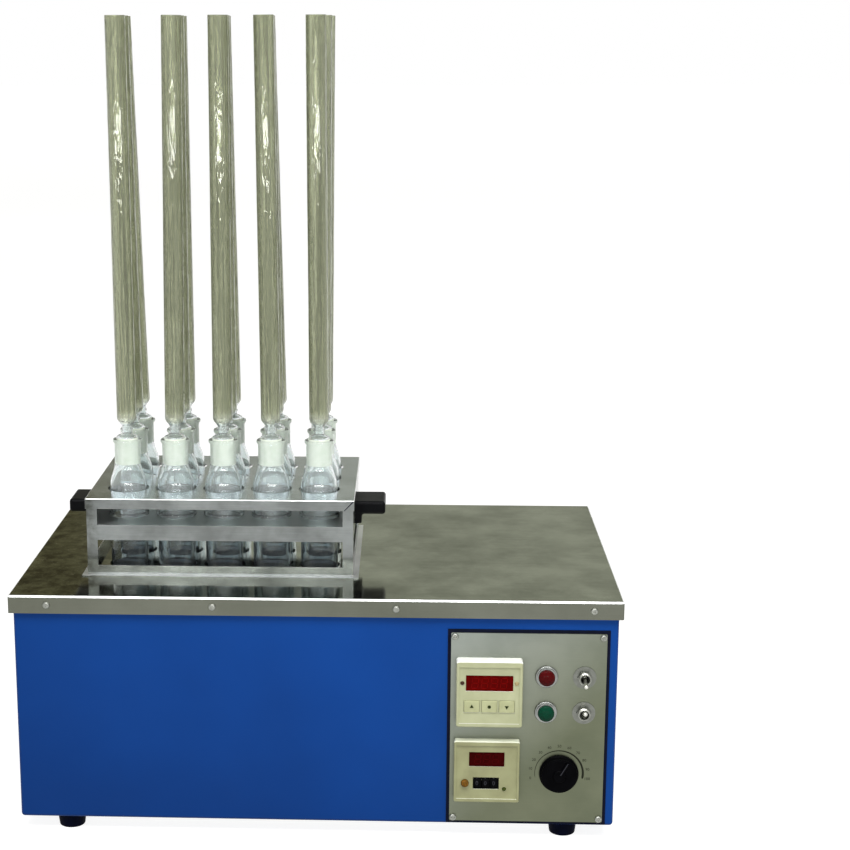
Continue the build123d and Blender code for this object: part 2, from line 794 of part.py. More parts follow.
def timer_case():
    z = above_body(TIMER_Z)
    case = bezel(TIMER_X, z, TIMER_W, TIMER_H, TIMER_PROUD, TIMER_EDGE_R)
    case += plate(TIMER_X, z, TIMER_BODY_W, TIMER_BODY_H, PANEL_FACE, PANEL_FACE + TIMER_DEPTH)
    case -= face_recess(
        TIMER_X,
        z,
        TIMER_W,
        TIMER_H,
        TIMER_RIM,
        TIMER_RIM_TOP,
        TIMER_RIM_BOTTOM,
        TIMER_PROUD,
        TIMER_FACE_DEPTH,
    )
    case -= plate(
        TIMER_X,
        above_body(TIMER_WINDOW_Z),
        TIMER_WINDOW_W,
        TIMER_WINDOW_H,
        TIMER_FACE - PAST,
        TIMER_FACE + WINDOW_SUNK + WINDOW_T,
    )
    wheel_z = above_body(WHEEL_Z)
    case -= plate(WHEEL_X, wheel_z, WHEEL_GUARD_W, WHEEL_GUARD_H, TIMER_FACE - PAST, TIMER_FACE + WHEEL_R)
    swing = WHEEL_R + WHEEL_FIT
    case -= plate(
        WHEEL_X, wheel_z, WHEEL_GUARD_W, 2 * swing, TIMER_FACE + WHEEL_GUARD_T, wheel_centre_y() + swing
    )
    half = WHEEL_GUARD_W / 2
    case += rod_along_x(WHEEL_AXLE_R, wheel_centre_y(), wheel_z, WHEEL_X - half - PAST, WHEEL_X + half + PAST)
    button_z = above_body(TIMER_BUTTON_Z)
    button_depth = TIMER_BUTTON_T - TIMER_BUTTON_PROUD + TIMER_BUTTON_TRAVEL + TIMER_BUTTON_FIT
    case -= rod_along_y(
        TIMER_BUTTON_R + TIMER_BUTTON_FIT,
        TIMER_BUTTON_X,
        button_z,
        TIMER_FACE - PAST,
        TIMER_FACE + button_depth,
    )
    case -= rod_along_y(
        LED_R + WINDOW_FIT,
        TIMER_LED_X,
        above_body(TIMER_LED_Z),
        TIMER_FACE - PAST,
        TIMER_FACE + LED_T - LED_PROUD,
    )
    return case


def timer_button():
    button = turned(
        [(0, 0), (TIMER_BUTTON_R, 0), (TIMER_BUTTON_R, TIMER_BUTTON_T), (0, TIMER_BUTTON_T)],
        [(2, TIMER_BUTTON_EDGE_R)],
    )
    seat_y = TIMER_FACE + TIMER_BUTTON_T - TIMER_BUTTON_PROUD
    return facing_front(TIMER_BUTTON_X, seat_y, above_body(TIMER_BUTTON_Z)) * button


def thumbwheel(n):
    """Numbered wheel on the timer's cross axle, with finger notches round its rim."""
    x = WHEEL_X + (n - 1) * WHEEL_PITCH
    y, z = wheel_centre_y(), above_body(WHEEL_Z)
    wheel = rod_along_x(WHEEL_R, y, z, x - WHEEL_W / 2, x + WHEEL_W / 2)
    wheel -= rod_along_x(WHEEL_AXLE_R + WHEEL_AXLE_FIT, y, z, x - WHEEL_W, x + WHEEL_W)
    notch_x = x + WHEEL_W / 2 - WHEEL_NOTCH_L
    reach = WHEEL_R + WHEEL_NOTCH_OUT
    for tooth in range(WHEEL_TEETH):
        angle = 2 * math.pi * (tooth + 0.5) / WHEEL_TEETH
        notch_y = y + reach * math.cos(angle)
        notch_z = z + reach * math.sin(angle)
        wheel -= rod_along_x(WHEEL_NOTCH_R, notch_y, notch_z, notch_x, x + WHEEL_W)
    return wheel


# ---- lamps, toggles, regulator

def lamp_bezels():
    """Chromed holders: a flange on the panel, a raised collar for the lens and a barrel behind."""
    flange = turned(
        [(0, 0), (LAMP_RING_R, 0), (LAMP_RING_R, LAMP_RING_H), (0, LAMP_RING_H)], [(2, LAMP_RING_EDGE_R)]
    )
    holder = flange + post(LAMP_COLLAR_R, 0, 0, 0, LAMP_COLLAR_H)
    holder += post(LAMP_BODY_R, 0, 0, -LAMP_BODY_DEPTH, 0)
    holder -= post(LENS_R + LENS_FIT, 0, 0, LENS_SEAT, LAMP_COLLAR_H + PAST)
    return together(
        [facing_front(LAMP_X, PANEL_FACE, above_body(z)) * holder for z in (RED_LAMP_Z, GREEN_LAMP_Z)]
    )


def lamp_lens(z):
    lens = post(LENS_R, 0, 0, 0, LENS_SIDE_H)
    cap_r = (LENS_R ** 2 + LENS_DOME_H ** 2) / (2 * LENS_DOME_H)
    cap = Pos(0, 0, LENS_SIDE_H + LENS_DOME_H - cap_r) * Sphere(cap_r)
    lens += cap & post(LENS_R, 0, 0, LENS_SIDE_H - PAST, LENS_SIDE_H + LENS_DOME_H + PAST)
    return facing_front(LAMP_X, PANEL_FACE - LENS_SEAT, above_body(z)) * lens


def toggle_bodies():
    """Switch body behind the panel, threaded bush, face plate and nut, bored for the lever."""
    body = block(
        -TOGGLE_BODY_W / 2,
        TOGGLE_BODY_W / 2,
        -TOGGLE_BODY_H / 2,
        TOGGLE_BODY_H / 2,
        -PANEL_T - TOGGLE_BODY_DEPTH,
        -PANEL_T,
    )
    body += post(TOGGLE_BUSH_R, 0, 0, -PANEL_T - PAST, TOGGLE_BUSH_PROUD)
    body += post(TOGGLE_PLATE_R, 0, 0, 0, TOGGLE_PLATE_T)
    nut = extrude(RegularPolygon(TOGGLE_NUT_ACROSS / 2, 6, major_radius=False), TOGGLE_NUT_T)
    body += Pos(0, 0, TOGGLE_PLATE_T) * nut
    pivot = -LEVER_PIVOT_IN
    body -= turned(
        [
            (0, pivot - TOGGLE_SEAT_IN),
            (TOGGLE_SEAT_R, pivot - TOGGLE_SEAT_IN),
            (TOGGLE_SEAT_R, pivot + TOGGLE_SEAT_OUT),
            (TOGGLE_MOUTH_R, TOGGLE_BUSH_PROUD),
            (TOGGLE_MOUTH_R, TOGGLE_BUSH_PROUD + PAST),
            (0, TOGGLE_BUSH_PROUD + PAST),
        ]
    )
    return together(
        [
            facing_front(TOGGLE_X, PANEL_FACE, above_body(z)) * body
            for z in (TOGGLE_UPPER_Z, TOGGLE_LOWER_Z)
        ]
    )


def toggle_lever(z, tilt):
    """Bat-shaped lever on a ball; positive tilt swings its tip down."""
    lever = turned(
        [(0, 0), (LEVER_ROOT_R, 0), (LEVER_TIP_R, LEVER_LENGTH), (0, LEVER_LENGTH)]
    )
    lever += Sphere(LEVER_BALL_R) + Pos(0, 0, LEVER_LENGTH) * Sphere(LEVER_TIP_R)
    pivot = Pos(TOGGLE_X, PANEL_FACE + LEVER_PIVOT_IN, above_body(z))
    return pivot * Rot(90 + tilt, 0, 0) * lever


def power_regulator():
    z = above_body(KNOB_Z)
    body = plate(KNOB_X, z, REGULATOR_W, REGULATOR_H, PANEL_BACK, PANEL_BACK + REGULATOR_DEPTH)
    body += rod_along_y(REGULATOR_BUSH_R, KNOB_X, z, PANEL_FACE - REGULATOR_BUSH_PROUD, PANEL_BACK + PAST)
    bore_end = PANEL_FACE - KNOB_GAP + SHAFT_LENGTH + PAST
    return body - rod_along_y(SHAFT_R + SHAFT_FIT, KNOB_X, z, PANEL_FACE - PAST, bore_end)


def regulator_knob():
    """Skirted knob with a raised pointer bar, fused to the shaft that turns in the regulator."""
    knob = turned(
        [
            (0, 0),
            (KNOB_R, 0),
            (KNOB_R, KNOB_SKIRT_T),
            (KNOB_BODY_R, KNOB_SKIRT_T + KNOB_SKIRT_SLOPE),
            (KNOB_BODY_R, KNOB_T),
            (0, KNOB_T),
        ],
        [(2, KNOB_SKIRT_EDGE_R), (4, KNOB_EDGE_R)],
    )
    knob += post(KNOB_HUB_R, 0, 0, KNOB_T - PAST, KNOB_T + KNOB_BAR_H)
    bar_end = KNOB_BODY_R - KNOB_BAR_INSET
    bar = block(0, bar_end, -KNOB_BAR_W / 2, KNOB_BAR_W / 2, KNOB_T - PAST, KNOB_T + KNOB_BAR_H)
    knob += Rot(0, 0, KNOB_POINTER_DEG) * bar
    knob += post(SHAFT_R, 0, 0, -SHAFT_LENGTH, PAST)
    return facing_front(KNOB_X, PANEL_FACE - KNOB_GAP, above_body(KNOB_Z)) * knob


# ---- heating block and what holds it

def block_box(grow_xy, z0, z1):
    half_w = BLOCK_W / 2 + grow_xy
    half_d = BLOCK_D / 2 + grow_xy
    return block(
        GRID_X - half_w, GRID_X + half_w, GRID_CENTRE_Y - half_d, GRID_CENTRE_Y + half_d, z0, z1
    )


def heater_lines():
    rise = above_body(BLOCK_BASE + HEATER_RISE)
    middle = (HEATER_COUNT - 1) / 2
    return [(GRID_CENTRE_Y + (n - middle) * HEATER_PITCH, rise) for n in range(HEATER_COUNT)]


def probe_line():
    return GRID_CENTRE_Y + GRID_PITCH / 2, above_body(BLOCK_BASE + PROBE_RISE)


def heating_block():
    body = block_box(0, above_body(BLOCK_BASE), above_body(BLOCK_TOP))
    well_floor = COVER_TOP - VESSEL_DEPTH - WELL_FLOOR_GAP
    for _, _, x, y in grid_places():
        body -= post(WELL_R, x, y, well_floor, above_body(BLOCK_TOP) + PAST)
    end = GRID_X + BLOCK_W / 2
    for y, z in heater_lines():
        body -= rod_along_x(HEATER_R + HEATER_FIT, y, z, end - BLOCK_W - PAST, end + PAST)
    y, z = probe_line()
    return body - rod_along_x(PROBE_R + PROBE_FIT, y, z, end - PROBE_IN - PAST, end + PAST)


def heater_rods():
    end = GRID_X + BLOCK_W / 2
    return together([rod_along_x(HEATER_R, y, z, end - BLOCK_W, end + HEATER_OUT) for y, z in heater_lines()])


def temperature_probe():
    y, z = probe_line()
    end = GRID_X + BLOCK_W / 2
    wall = end + INSULATION_FIT + INSULATION_T + TRAY_T
    probe = rod_along_x(PROBE_R, y, z, end - PROBE_IN, wall + PAST)
    return probe + rod_along_x(PROBE_HEAD_R, y, z, wall, wall + PROBE_HEAD_L)


def lead_holes(body):
    x0 = GRID_X + BLOCK_W / 2 - PAST
    x1 = x0 + INSULATION_FIT + INSULATION_T + TRAY_T + 3 * PAST
    for y, z in heater_lines():
        body -= rod_along_x(LEAD_HOLE_R, y, z, x0, x1)
    y, z = probe_line()
    return body - rod_along_x(PROBE_HOLE_R, y, z, x0, x1)


def insulation_box():
    base = above_body(BLOCK_BASE)
    outer = block_box(INSULATION_FIT + INSULATION_T, base - INSULATION_T, above_body(BLOCK_TOP))
    return lead_holes(outer - block_box(INSULATION_FIT, base, above_body(BLOCK_TOP) + PAST))


def tray_floor():
    return above_body(BLOCK_BASE) - INSULATION_T - TRAY_T


def block_tray():
    grow = INSULATION_FIT + INSULATION_T
    outer = block_box(grow + TRAY_T, tray_floor(), above_body(BLOCK_TOP))
    return lead_holes(outer - block_box(grow, tray_floor() + TRAY_T, above_body(BLOCK_TOP) + PAST))


def tray_legs():
    dx = BLOCK_W / 2 - TRAY_LEG_INSET
    dy = BLOCK_D / 2 - TRAY_LEG_INSET
    foot = FOOT_H + CASING_T + FLOOR_PLATE_T
    return together(
        [
            post(TRAY_LEG_R, GRID_X + i * dx, GRID_CENTRE_Y + j * dy, foot, tray_floor())
            for i in (-1, 1)
            for j in (-1, 1)
        ]
    )


# ---- back panel, inlet, relay

def inlet_outline(width, height, corner, y0, y1):
    """Socket shape with its two upper corners cut off, as an extrusion along Y."""
    w, h = width / 2, height / 2
    corners = [(-w, -h), (w, -h), (w, h - corner), (w - corner, h), (corner - w, h), (-w, h - corner)]
    outline = make_face(Polyline(*corners, close=True))
    x, z = BACK_PANEL_X + INLET_DX, above_body(BACK_PANEL_Z + INLET_DZ)
    return Pos(x, y1, z) * Rot(90, 0, 0) * extrude(outline, y1 - y0)


def back_panel():
    z = above_body(BACK_PANEL_Z)
    outside = BODY_BACK + BACK_PANEL_T
    sheet = plate(BACK_PANEL_X, z, BACK_PANEL_W, BACK_PANEL_H, BODY_BACK, outside)
    sheet = rounded(sheet, Axis.Y, CASING_EDGE_R)
    for n in range(VENT_COUNT):
        vent_z = z + VENT_Z + (n - (VENT_COUNT - 1) / 2) * VENT_PITCH
        slot = plate(BACK_PANEL_X, vent_z, VENT_W, VENT_H, BODY_BACK - PAST, outside + PAST)
        sheet -= rounded(slot, Axis.Y, VENT_H * SLOT_END_SHARE)
    sheet -= plate(
        BACK_PANEL_X + INLET_DX,
        above_body(BACK_PANEL_Z + INLET_DZ),
        INLET_BODY_W + 2 * PANEL_HOLE_FIT,
        INLET_BODY_H + 2 * PANEL_HOLE_FIT,
        BODY_BACK - PAST,
        outside + PAST,
    )
    return cut(sheet, shank_holes(back_screw_seats()))


def power_inlet():
    x, z = BACK_PANEL_X + INLET_DX, above_body(BACK_PANEL_Z + INLET_DZ)
    seat = BODY_BACK + BACK_PANEL_T
    mouth = seat + INLET_FLANGE_T
    flange = rounded(plate(x, z, INLET_FLANGE_W, INLET_FLANGE_H, seat, mouth), Axis.Y, INLET_FLANGE_CORNER_R)
    flange = fillet(flange.faces().sort_by(Axis.Y)[-1].edges(), INLET_FLANGE_EDGE_R)
    inlet = flange + plate(x, z, INLET_BODY_W, INLET_BODY_H, seat - INLET_BODY_DEPTH, seat)
    floor = mouth - INLET_SOCKET_DEPTH
    inlet -= inlet_outline(INLET_SOCKET_W, INLET_SOCKET_H, INLET_CORNER, floor, mouth + PAST)
    for side, rise in ((-1, -INLET_PIN_DZ), (1, -INLET_PIN_DZ), (0, INLET_PIN_DZ)):
        inlet += plate(
            x + side * INLET_PIN_DX, z + rise, INLET_PIN_T, INLET_PIN_H, floor - PAST, floor + INLET_PIN_L
        )
    return inlet


def solid_state_relay():
    foot = FOOT_H + CASING_T + FLOOR_PLATE_T
    x = COVER_W / 2 - RELAY_FROM_END
    y = COVER_FRONT + RELAY_FROM_FRONT
    half_w, half_d = RELAY_W / 2, RELAY_D / 2
    body = block(x - half_w, x + half_w, y - half_d, y + half_d, foot, foot + RELAY_H)
    tab = half_d + RELAY_TAB
    return body + block(x - half_w, x + half_w, y - tab, y + tab, foot, foot + RELAY_TAB_H)


# ---- rack

def rack_box(inset, z0, z1):
    half_w = RACK_W / 2 - inset
    half_d = RACK_D / 2 - inset
    return block(
        GRID_X - half_w, GRID_X + half_w, GRID_CENTRE_Y - half_d, GRID_CENTRE_Y + half_d, z0, z1
    )


def rack_top():
    """Lid of the rack with turned-down lips and the fifteen vessel holes."""
    lid = rounded(rack_box(0, RACK_TOP - RACK_LIP, RACK_TOP), Axis.Z, RACK_EDGE_R)
    lid = fillet(lid.faces().sort_by(Axis.Z)[-1].edges(), RACK_EDGE_R)
    lid -= rack_box(RACK_T, RACK_TOP - RACK_LIP - PAST, RACK_TOP - RACK_T)
    for _, _, x, y in grid_places():
        lid -= post(RACK_HOLE_R, x, y, RACK_TOP - RACK_T - PAST, RACK_TOP + PAST)
    return lid


def rack_frame():
    """Four windowed walls with a narrow outward flange at the foot."""
    walls = rack_box(RACK_T, COVER_TOP, RACK_TOP - RACK_T)
    walls += rack_box(-RACK_FLANGE, COVER_TOP, COVER_TOP + RACK_T)
    walls -= rack_box(2 * RACK_T, COVER_TOP - PAST, RACK_TOP)
    open_w = RACK_W - 2 * RACK_POST
    open_d = RACK_D - 2 * RACK_POST
    for low, high in (UPPER_WINDOW, LOWER_WINDOW):
        walls -= block(
            GRID_X - open_w / 2,
            GRID_X + open_w / 2,
            GRID_CENTRE_Y - RACK_D,
            GRID_CENTRE_Y + RACK_D,
            COVER_TOP + low,
            COVER_TOP + high,
        )
    walls -= block(
        GRID_X - RACK_W,
        GRID_X + RACK_W,
        GRID_CENTRE_Y - open_d / 2,
        GRID_CENTRE_Y + open_d / 2,
        COVER_TOP + LOWER_WINDOW[0],
        COVER_TOP + LOWER_WINDOW[1],
    )
    return cut(walls, handle_screw_holes())


def rack_shelf():
    """Plate that carries the vessels by their beads, turned down along its front and back edges."""
    top = COVER_TOP + SHELF_TOP
    shelf = rack_box(2 * RACK_T, top - SHELF_FLANGE, top)
    half_d = RACK_D / 2 - 2 * RACK_T - SHELF_T
    shelf -= block(
        GRID_X - RACK_W,
        GRID_X + RACK_W,
        GRID_CENTRE_Y - half_d,
        GRID_CENTRE_Y + half_d,
        top - SHELF_FLANGE - PAST,
        top - SHELF_T,
    )
    for _, _, x, y in grid_places():
        shelf -= post(SHELF_HOLE_R, x, y, top - SHELF_T - PAST, top + PAST)
    return shelf


def handle_screw_seats():
    """Heads inside the rack walls, shanks going out into the handles."""
    seats = []
    for side in (-1, 1):
        x = GRID_X + side * (RACK_W / 2 - 2 * RACK_T)
        for dy in (-HANDLE_SCREW_DY, HANDLE_SCREW_DY):
            seats.append(facing_side(-side, x, GRID_CENTRE_Y + dy, COVER_TOP + HANDLE_SCREW_Z))
    return seats


def handle_screw_holes():
    drill = post(SCREW_SHANK_R + SCREW_FIT, 0, 0, -HANDLE_SCREW_LENGTH - SCREW_FIT, PAST)
    return [seat * drill for seat in handle_screw_seats()]


def rack_handles():
    """Moulded lugs: a pad on the rack wall and a flat grip standing out from its upper half."""
    handles = []
    top = COVER_TOP + RACK_H - HANDLE_DROP
    wall = RACK_W / 2 - RACK_T
    reach = RACK_W / 2 + HANDLE_REACH
    for side in (-1, 1):
        outline = make_face(
            Polyline(
                (wall, top),
                (reach, top),
                (reach, top - HANDLE_T),
                (wall + HANDLE_PAD_T, top - HANDLE_T),
                (wall + HANDLE_PAD_T, top - HANDLE_PAD_H),
                (wall, top - HANDLE_PAD_H),
                close=True,
            )
        )
        lug = extrude(Plane.XZ * outline, HANDLE_LENGTH / 2, both=True)
        lug = fillet(lug.edges().filter_by(Axis.Y).group_by(Axis.X)[-1], HANDLE_EDGE_R)
        lug = fillet(lug.edges().filter_by(Axis.Y).group_by(Axis.X)[1].sort_by(Axis.Z)[-1], HANDLE_EDGE_R)
        lug = fillet(lug.faces().sort_by(Axis.X)[-1].edges().filter_by(Axis.Z), HANDLE_EDGE_R)
        if side < 0:
            lug = mirror(lug, Plane.YZ)
        handles.append(Pos(GRID_X, GRID_CENTRE_Y, 0) * lug)
    return together([cut(lug, handle_screw_holes()) for lug in handles])


def handle_screws():
    screw = pan_screw(HANDLE_SCREW_LENGTH)
    return together([seat * screw for seat in handle_screw_seats()])


# ---- glass

def joint_radius(above_rim):
    """Radius of the ground cone at a height above the vessel's rim."""
    return JOINT_TOP_R - JOINT_TAPER * (JOINT_ABOVE_RIM - above_rim)


def vessel():
    rim = VESSEL_RIM_Z
    base = -VESSEL_DEPTH
    inner_r = VESSEL_R - VESSEL_WALL
    socket_end = rim - JOINT_LENGTH
    glass = turned(
        [
            (0, base),
            (VESSEL_R, base),
            (VESSEL_R, SHELF_TOP),
            (VESSEL_BEAD_R, SHELF_TOP),
            (VESSEL_BEAD_R, SHELF_TOP + VESSEL_BEAD_H),
            (VESSEL_R, SHELF_TOP + VESSEL_BEAD_H),
            (VESSEL_R, VESSEL_SHOULDER),
            (VESSEL_NECK_R, VESSEL_NECK_Z),
            (VESSEL_NECK_R, rim - VESSEL_RIM_H),
            (VESSEL_RIM_R, rim - VESSEL_RIM_H),
            (VESSEL_RIM_R, rim),
            (joint_radius(0) + JOINT_FIT, rim),
            (joint_radius(-JOINT_LENGTH) + JOINT_FIT, socket_end),
            (VESSEL_NECK_BORE_R, socket_end - VESSEL_RIM_H),
            (inner_r, VESSEL_SHOULDER - VESSEL_INNER_DROP),
            (inner_r, base + VESSEL_FLOOR),
            (0, base + VESSEL_FLOOR),
        ],
        [
            (1, VESSEL_BASE_ROUND),
            (3, VESSEL_BEAD_ROOT_R),
            (4, VESSEL_BEAD_EDGE_R),
            (6, VESSEL_SHOULDER_ROUND),
            (7, VESSEL_NECK_ROUND),
            (9, VESSEL_RIM_ROUND),
            (10, VESSEL_RIM_ROUND),
            (13, GLASS_ROUND_R),
            (14, VESSEL_INNER_SHOULDER_ROUND),
            (15, VESSEL_INNER_BASE_ROUND),
        ],
    )
    return Pos(0, 0, COVER_TOP) * glass


def vessel_row(row):
    glass = vessel()
    return together([Pos(x, y, 0) * glass for r, _, x, y in grid_places() if r == row])


def condenser(x, y, lean):
    """Open glass tube; the lean turns everything above the knot about Y, positive to the right."""
    knot = Pos(0, 0, KNOT_Z)
    tilted = knot * Rot(0, lean, 0) * Pos(0, 0, -KNOT_Z)
    low = JOINT_ABOVE_RIM - JOINT_LENGTH
    high = TUBE_TOP - VESSEL_RIM_Z
    cone = turned(
        [
            (0, low),
            (joint_radius(low), low),
            (JOINT_TOP_R, JOINT_ABOVE_RIM),
            (NECK_R, NECK_Z),
            (NECK_R, KNOT_Z),
            (0, KNOT_Z),
        ],
        [(2, CONE_SHOULDER_ROUND), (3, NECK_ROUND)],
    )
    tube = turned(
        [
            (0, KNOT_Z),
            (NECK_R, KNOT_Z),
            (NECK_R, TUBE_BASE_Z),
            (TUBE_R, TUBE_SHOULDER_Z),
            (TUBE_R, high),
            (0, high),
        ],
        [(2, NECK_ROUND), (3, GLASS_ROUND_R)],
    )
    cone_bore = turned(
        [
            (0, low - PAST),
            (CONE_BORE_BASE_R, low - PAST),
            (CONE_BORE_TOP_R, CONE_BORE_TOP_Z),
            (NECK_BORE_R, NECK_Z - PAST),
            (NECK_BORE_R, KNOT_Z),
            (0, KNOT_Z),
        ],
        [(2, CONE_BORE_ROUND)],
    )
    bore_r = TUBE_R - TUBE_WALL
    tube_bore = turned(
        [
            (0, KNOT_Z),
            (NECK_BORE_R, KNOT_Z),
            (NECK_BORE_R, TUBE_BASE_Z + PAST),
            (bore_r, TUBE_SHOULDER_Z + PAST),
            (bore_r, high + PAST),
            (0, high + PAST),
        ],
        [(3, GLASS_ROUND_R)],
    )
    glass = cone + knot * Sphere(KNOT_R) + tilted * tube
    glass -= cone_bore + knot * Sphere(KNOT_BORE_R) + tilted * tube_bore
    return Pos(x, y, COVER_TOP + VESSEL_RIM_Z) * glass


# ---- write every node

save(casing(), "casing")
save(bottom_plate(), "bottom_plate")
save(back_panel(), "back_panel")
save(top_cover(), "top_cover")
save(case_screws(), "case_screws")
save(rubber_feet(), "rubber_feet")
save(panel_gasket(), "panel_gasket")
save(control_panel(), "control_panel")
save(controller_case(), "controller_case")
save(
    display_window(
        CONTROLLER_X, CONTROLLER_WINDOW_Z, CONTROLLER_WINDOW_W, CONTROLLER_WINDOW_H, CONTROLLER_FACE
    ),
    "controller_window",
)
save(controller_leds(), "controller_leds")
for key_x, key_name, mark_sides, mark_turn in zip(
    key_places(), ["key_up", "key_set", "key_down"], [3, 0, 3], [90, 0, -90]
):
    save(controller_key(key_x, mark_sides, mark_turn), key_name)
save(timer_case(), "timer_case")
save(display_window(TIMER_X, TIMER_WINDOW_Z, TIMER_WINDOW_W, TIMER_WINDOW_H, TIMER_FACE), "timer_window")
save(timer_button(), "timer_button")
save(indicator(TIMER_LED_X, TIMER_LED_Z, TIMER_FACE), "timer_led")
for wheel_n, wheel_name in enumerate(["hundreds", "tens", "units"]):
    save(thumbwheel(wheel_n), "thumbwheel_" + wheel_name)
save(lamp_bezels(), "lamp_bezels")
save(lamp_lens(RED_LAMP_Z), "red_lens")
save(lamp_lens(GREEN_LAMP_Z), "green_lens")
save(toggle_bodies(), "toggle_bodies")
save(toggle_lever(TOGGLE_UPPER_Z, LEVER_TILT), "toggle_lever_upper")
save(toggle_lever(TOGGLE_LOWER_Z, -LEVER_TILT), "toggle_lever_lower")
save(power_regulator(), "power_regulator")
save(regulator_knob(), "regulator_knob")
save(heating_block(), "heating_block")
save(heater_rods(), "heater_rods")
save(insulation_box(), "insulation_box")
save(block_tray(), "block_tray")
save(tray_legs(), "tray_legs")
save(temperature_probe(), "temperature_probe")
save(power_inlet(), "power_inlet")
save(solid_state_relay(), "solid_state_relay")
save(rack_top(), "rack_top")
save(rack_frame(), "rack_frame")
save(rack_shelf(), "rack_shelf")
save(rack_handles(), "rack_handles")
save(handle_screws(), "handle_screws")
for row_n, row_name in enumerate(ROW_NAMES):
    save(vessel_row(row_n), "vessels_" + row_name)
for row_n, column_n, tube_x, tube_y in grid_places():
    row_name = ROW_NAMES[row_n]
    tube = condenser(tube_x, tube_y, TUBE_LEAN_DEG[row_name][column_n])
    save(tube, "condenser_" + row_name + "_" + str(column_n + 1))
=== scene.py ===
import math

import bmesh
import bpy
import numpy as np
from mathutils import Matrix, Vector


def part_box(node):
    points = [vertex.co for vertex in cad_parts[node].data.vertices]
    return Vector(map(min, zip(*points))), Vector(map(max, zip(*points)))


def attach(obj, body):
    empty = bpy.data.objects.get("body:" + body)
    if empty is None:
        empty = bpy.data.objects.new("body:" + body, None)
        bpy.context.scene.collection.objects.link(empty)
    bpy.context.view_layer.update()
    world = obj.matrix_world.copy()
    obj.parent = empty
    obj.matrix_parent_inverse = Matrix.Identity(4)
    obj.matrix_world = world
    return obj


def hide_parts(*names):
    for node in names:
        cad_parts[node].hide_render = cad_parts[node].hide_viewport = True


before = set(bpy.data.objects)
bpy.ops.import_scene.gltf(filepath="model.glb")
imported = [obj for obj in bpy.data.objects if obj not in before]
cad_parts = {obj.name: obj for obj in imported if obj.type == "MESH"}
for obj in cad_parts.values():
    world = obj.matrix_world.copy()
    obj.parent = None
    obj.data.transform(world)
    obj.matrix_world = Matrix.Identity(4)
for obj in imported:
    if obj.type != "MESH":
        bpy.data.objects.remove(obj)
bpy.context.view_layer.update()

# A bench reactor: blue coated box, stainless cover and rack, fifteen glass vessels with air condensers.
# Lengths are written in millimetres and turned to metres by mm().


def mm(value):
    """Millimetres to metres, for a number, a list or an array."""
    return np.asarray(value, float) / 1000 if isinstance(value, (list, tuple, np.ndarray)) else value / 1000


# ---- places, in millimetres

def node_box(node):
    """Low and high corners of a node's box."""
    low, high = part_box(node)
    return np.array(low) * 1000, np.array(high) * 1000


COVER_LOW, COVER_HIGH = node_box("top_cover")
COVER_TOP = COVER_HIGH[2]
PANEL_FACE = node_box("control_panel")[0][1]
ROWS = ("front", "middle", "back")
COLUMNS = 5
BEAD_R = 22.7
RIM = COVER_TOP + 145.0
KNOT = RIM + 10.5
TUBE_LEAN_DEG = {
    "front": [-0.2, 0.65, 0.15, -0.5, -0.25],
    "middle": [-0.8, 0.2, -0.3, -0.9, 0.3],
    "back": [-1.5, -0.25, -0.8, -1.3, 0.45],
}

LENS_X, RED_LENS_Z, GREEN_LENS_Z = 249.3, 187.7, 147.6
SWITCH_X, SWITCH_HEIGHTS = 290.0, (186.8, 146.9)
KNOB_CENTRE = (265.0, 77.0)
KNOB_AIM = math.radians(59.4)
INDICATOR_LEFT_X, INDICATOR_RIGHT_X, INDICATOR_Z = 159.1, 217.1, 182.7
CONTROLLER_DIGITS_AT, TIMER_DIGITS_AT = (188.1, 182.7), (186.6, 95.0)
KEY_MARK_Z = 156.6
WHEEL_PLACES = {"thumbwheel_hundreds": 177.0, "thumbwheel_tens": 186.0, "thumbwheel_units": 195.0}
INK_LIFT, INK_THICK = 0.03, 0.06


def vessel_places(row):
    """(x, y) of the five vessels of a row, evenly spaced between the ends of the row's box."""
    low, high = node_box("vessels_" + row)
    xs = np.linspace(low[0] + BEAD_R, high[0] - BEAD_R, COLUMNS)
    return [(x, (low[1] + high[1]) / 2) for x in xs]


# ---- nodes and materials

WHITE = (1, 1, 1, 1)
RESIN_IOR, ACRYLIC_IOR, GLASS_IOR = 1.5, 1.49, 1.474
UPWARDS = (0.0, 0.0, 1.0)


def linear(code):
    """sRGB hex to linear RGBA, by the standard two-part curve."""
    channels = np.array([int(code[i:i + 2], 16) for i in (1, 3, 5)]) / 255
    curve = np.where(channels <= 0.04045, channels / 12.92, ((channels + 0.055) / 1.055) ** 2.4)
    return (*curve, 1.0)


def set_stops(points, stops):
    """Gives a colour ramp its (place, colour) stops; a single number stands for a grey."""
    while len(points) < len(stops):
        points.new(0.5)
    for point, (place, colour) in zip(points, stops):
        point.position = place
        point.color = colour if isinstance(colour, tuple) else (colour, colour, colour, 1)


def put(tree, kind, settings=None, **inputs):
    """Adds one shader node with its settings and links.

    settings are the node's own properties, or the stops of a colour ramp. inputs are sockets by name, or by
    number after n_, and each is a plain value, a socket, or a node whose first output in use is linked."""
    made = tree.nodes.new("ShaderNode" + kind)
    for key, value in (settings or {}).items():
        if key == "stops":
            set_stops(made.color_ramp.elements, value)
        else:
            setattr(made, key, value)
    for key, value in inputs.items():
        name = key.replace("_", " ")
        socket = made.inputs[int(name[2:])] if name.startswith("n ") else made.inputs[name]
        if isinstance(value, bpy.types.Node):
            value = next(output for output in value.outputs if output.enabled)
        if isinstance(value, bpy.types.NodeSocket):
            tree.links.new(value, socket)
        else:
            socket.default_value = value
    return made


def start(name):
    """A new, empty material, as (material, tree, object coordinates)."""
    material = bpy.data.materials.new(name)
    material.use_nodes = True
    tree = material.node_tree
    tree.nodes.clear()
    return material, tree, put(tree, "TexCoord").outputs["Object"]


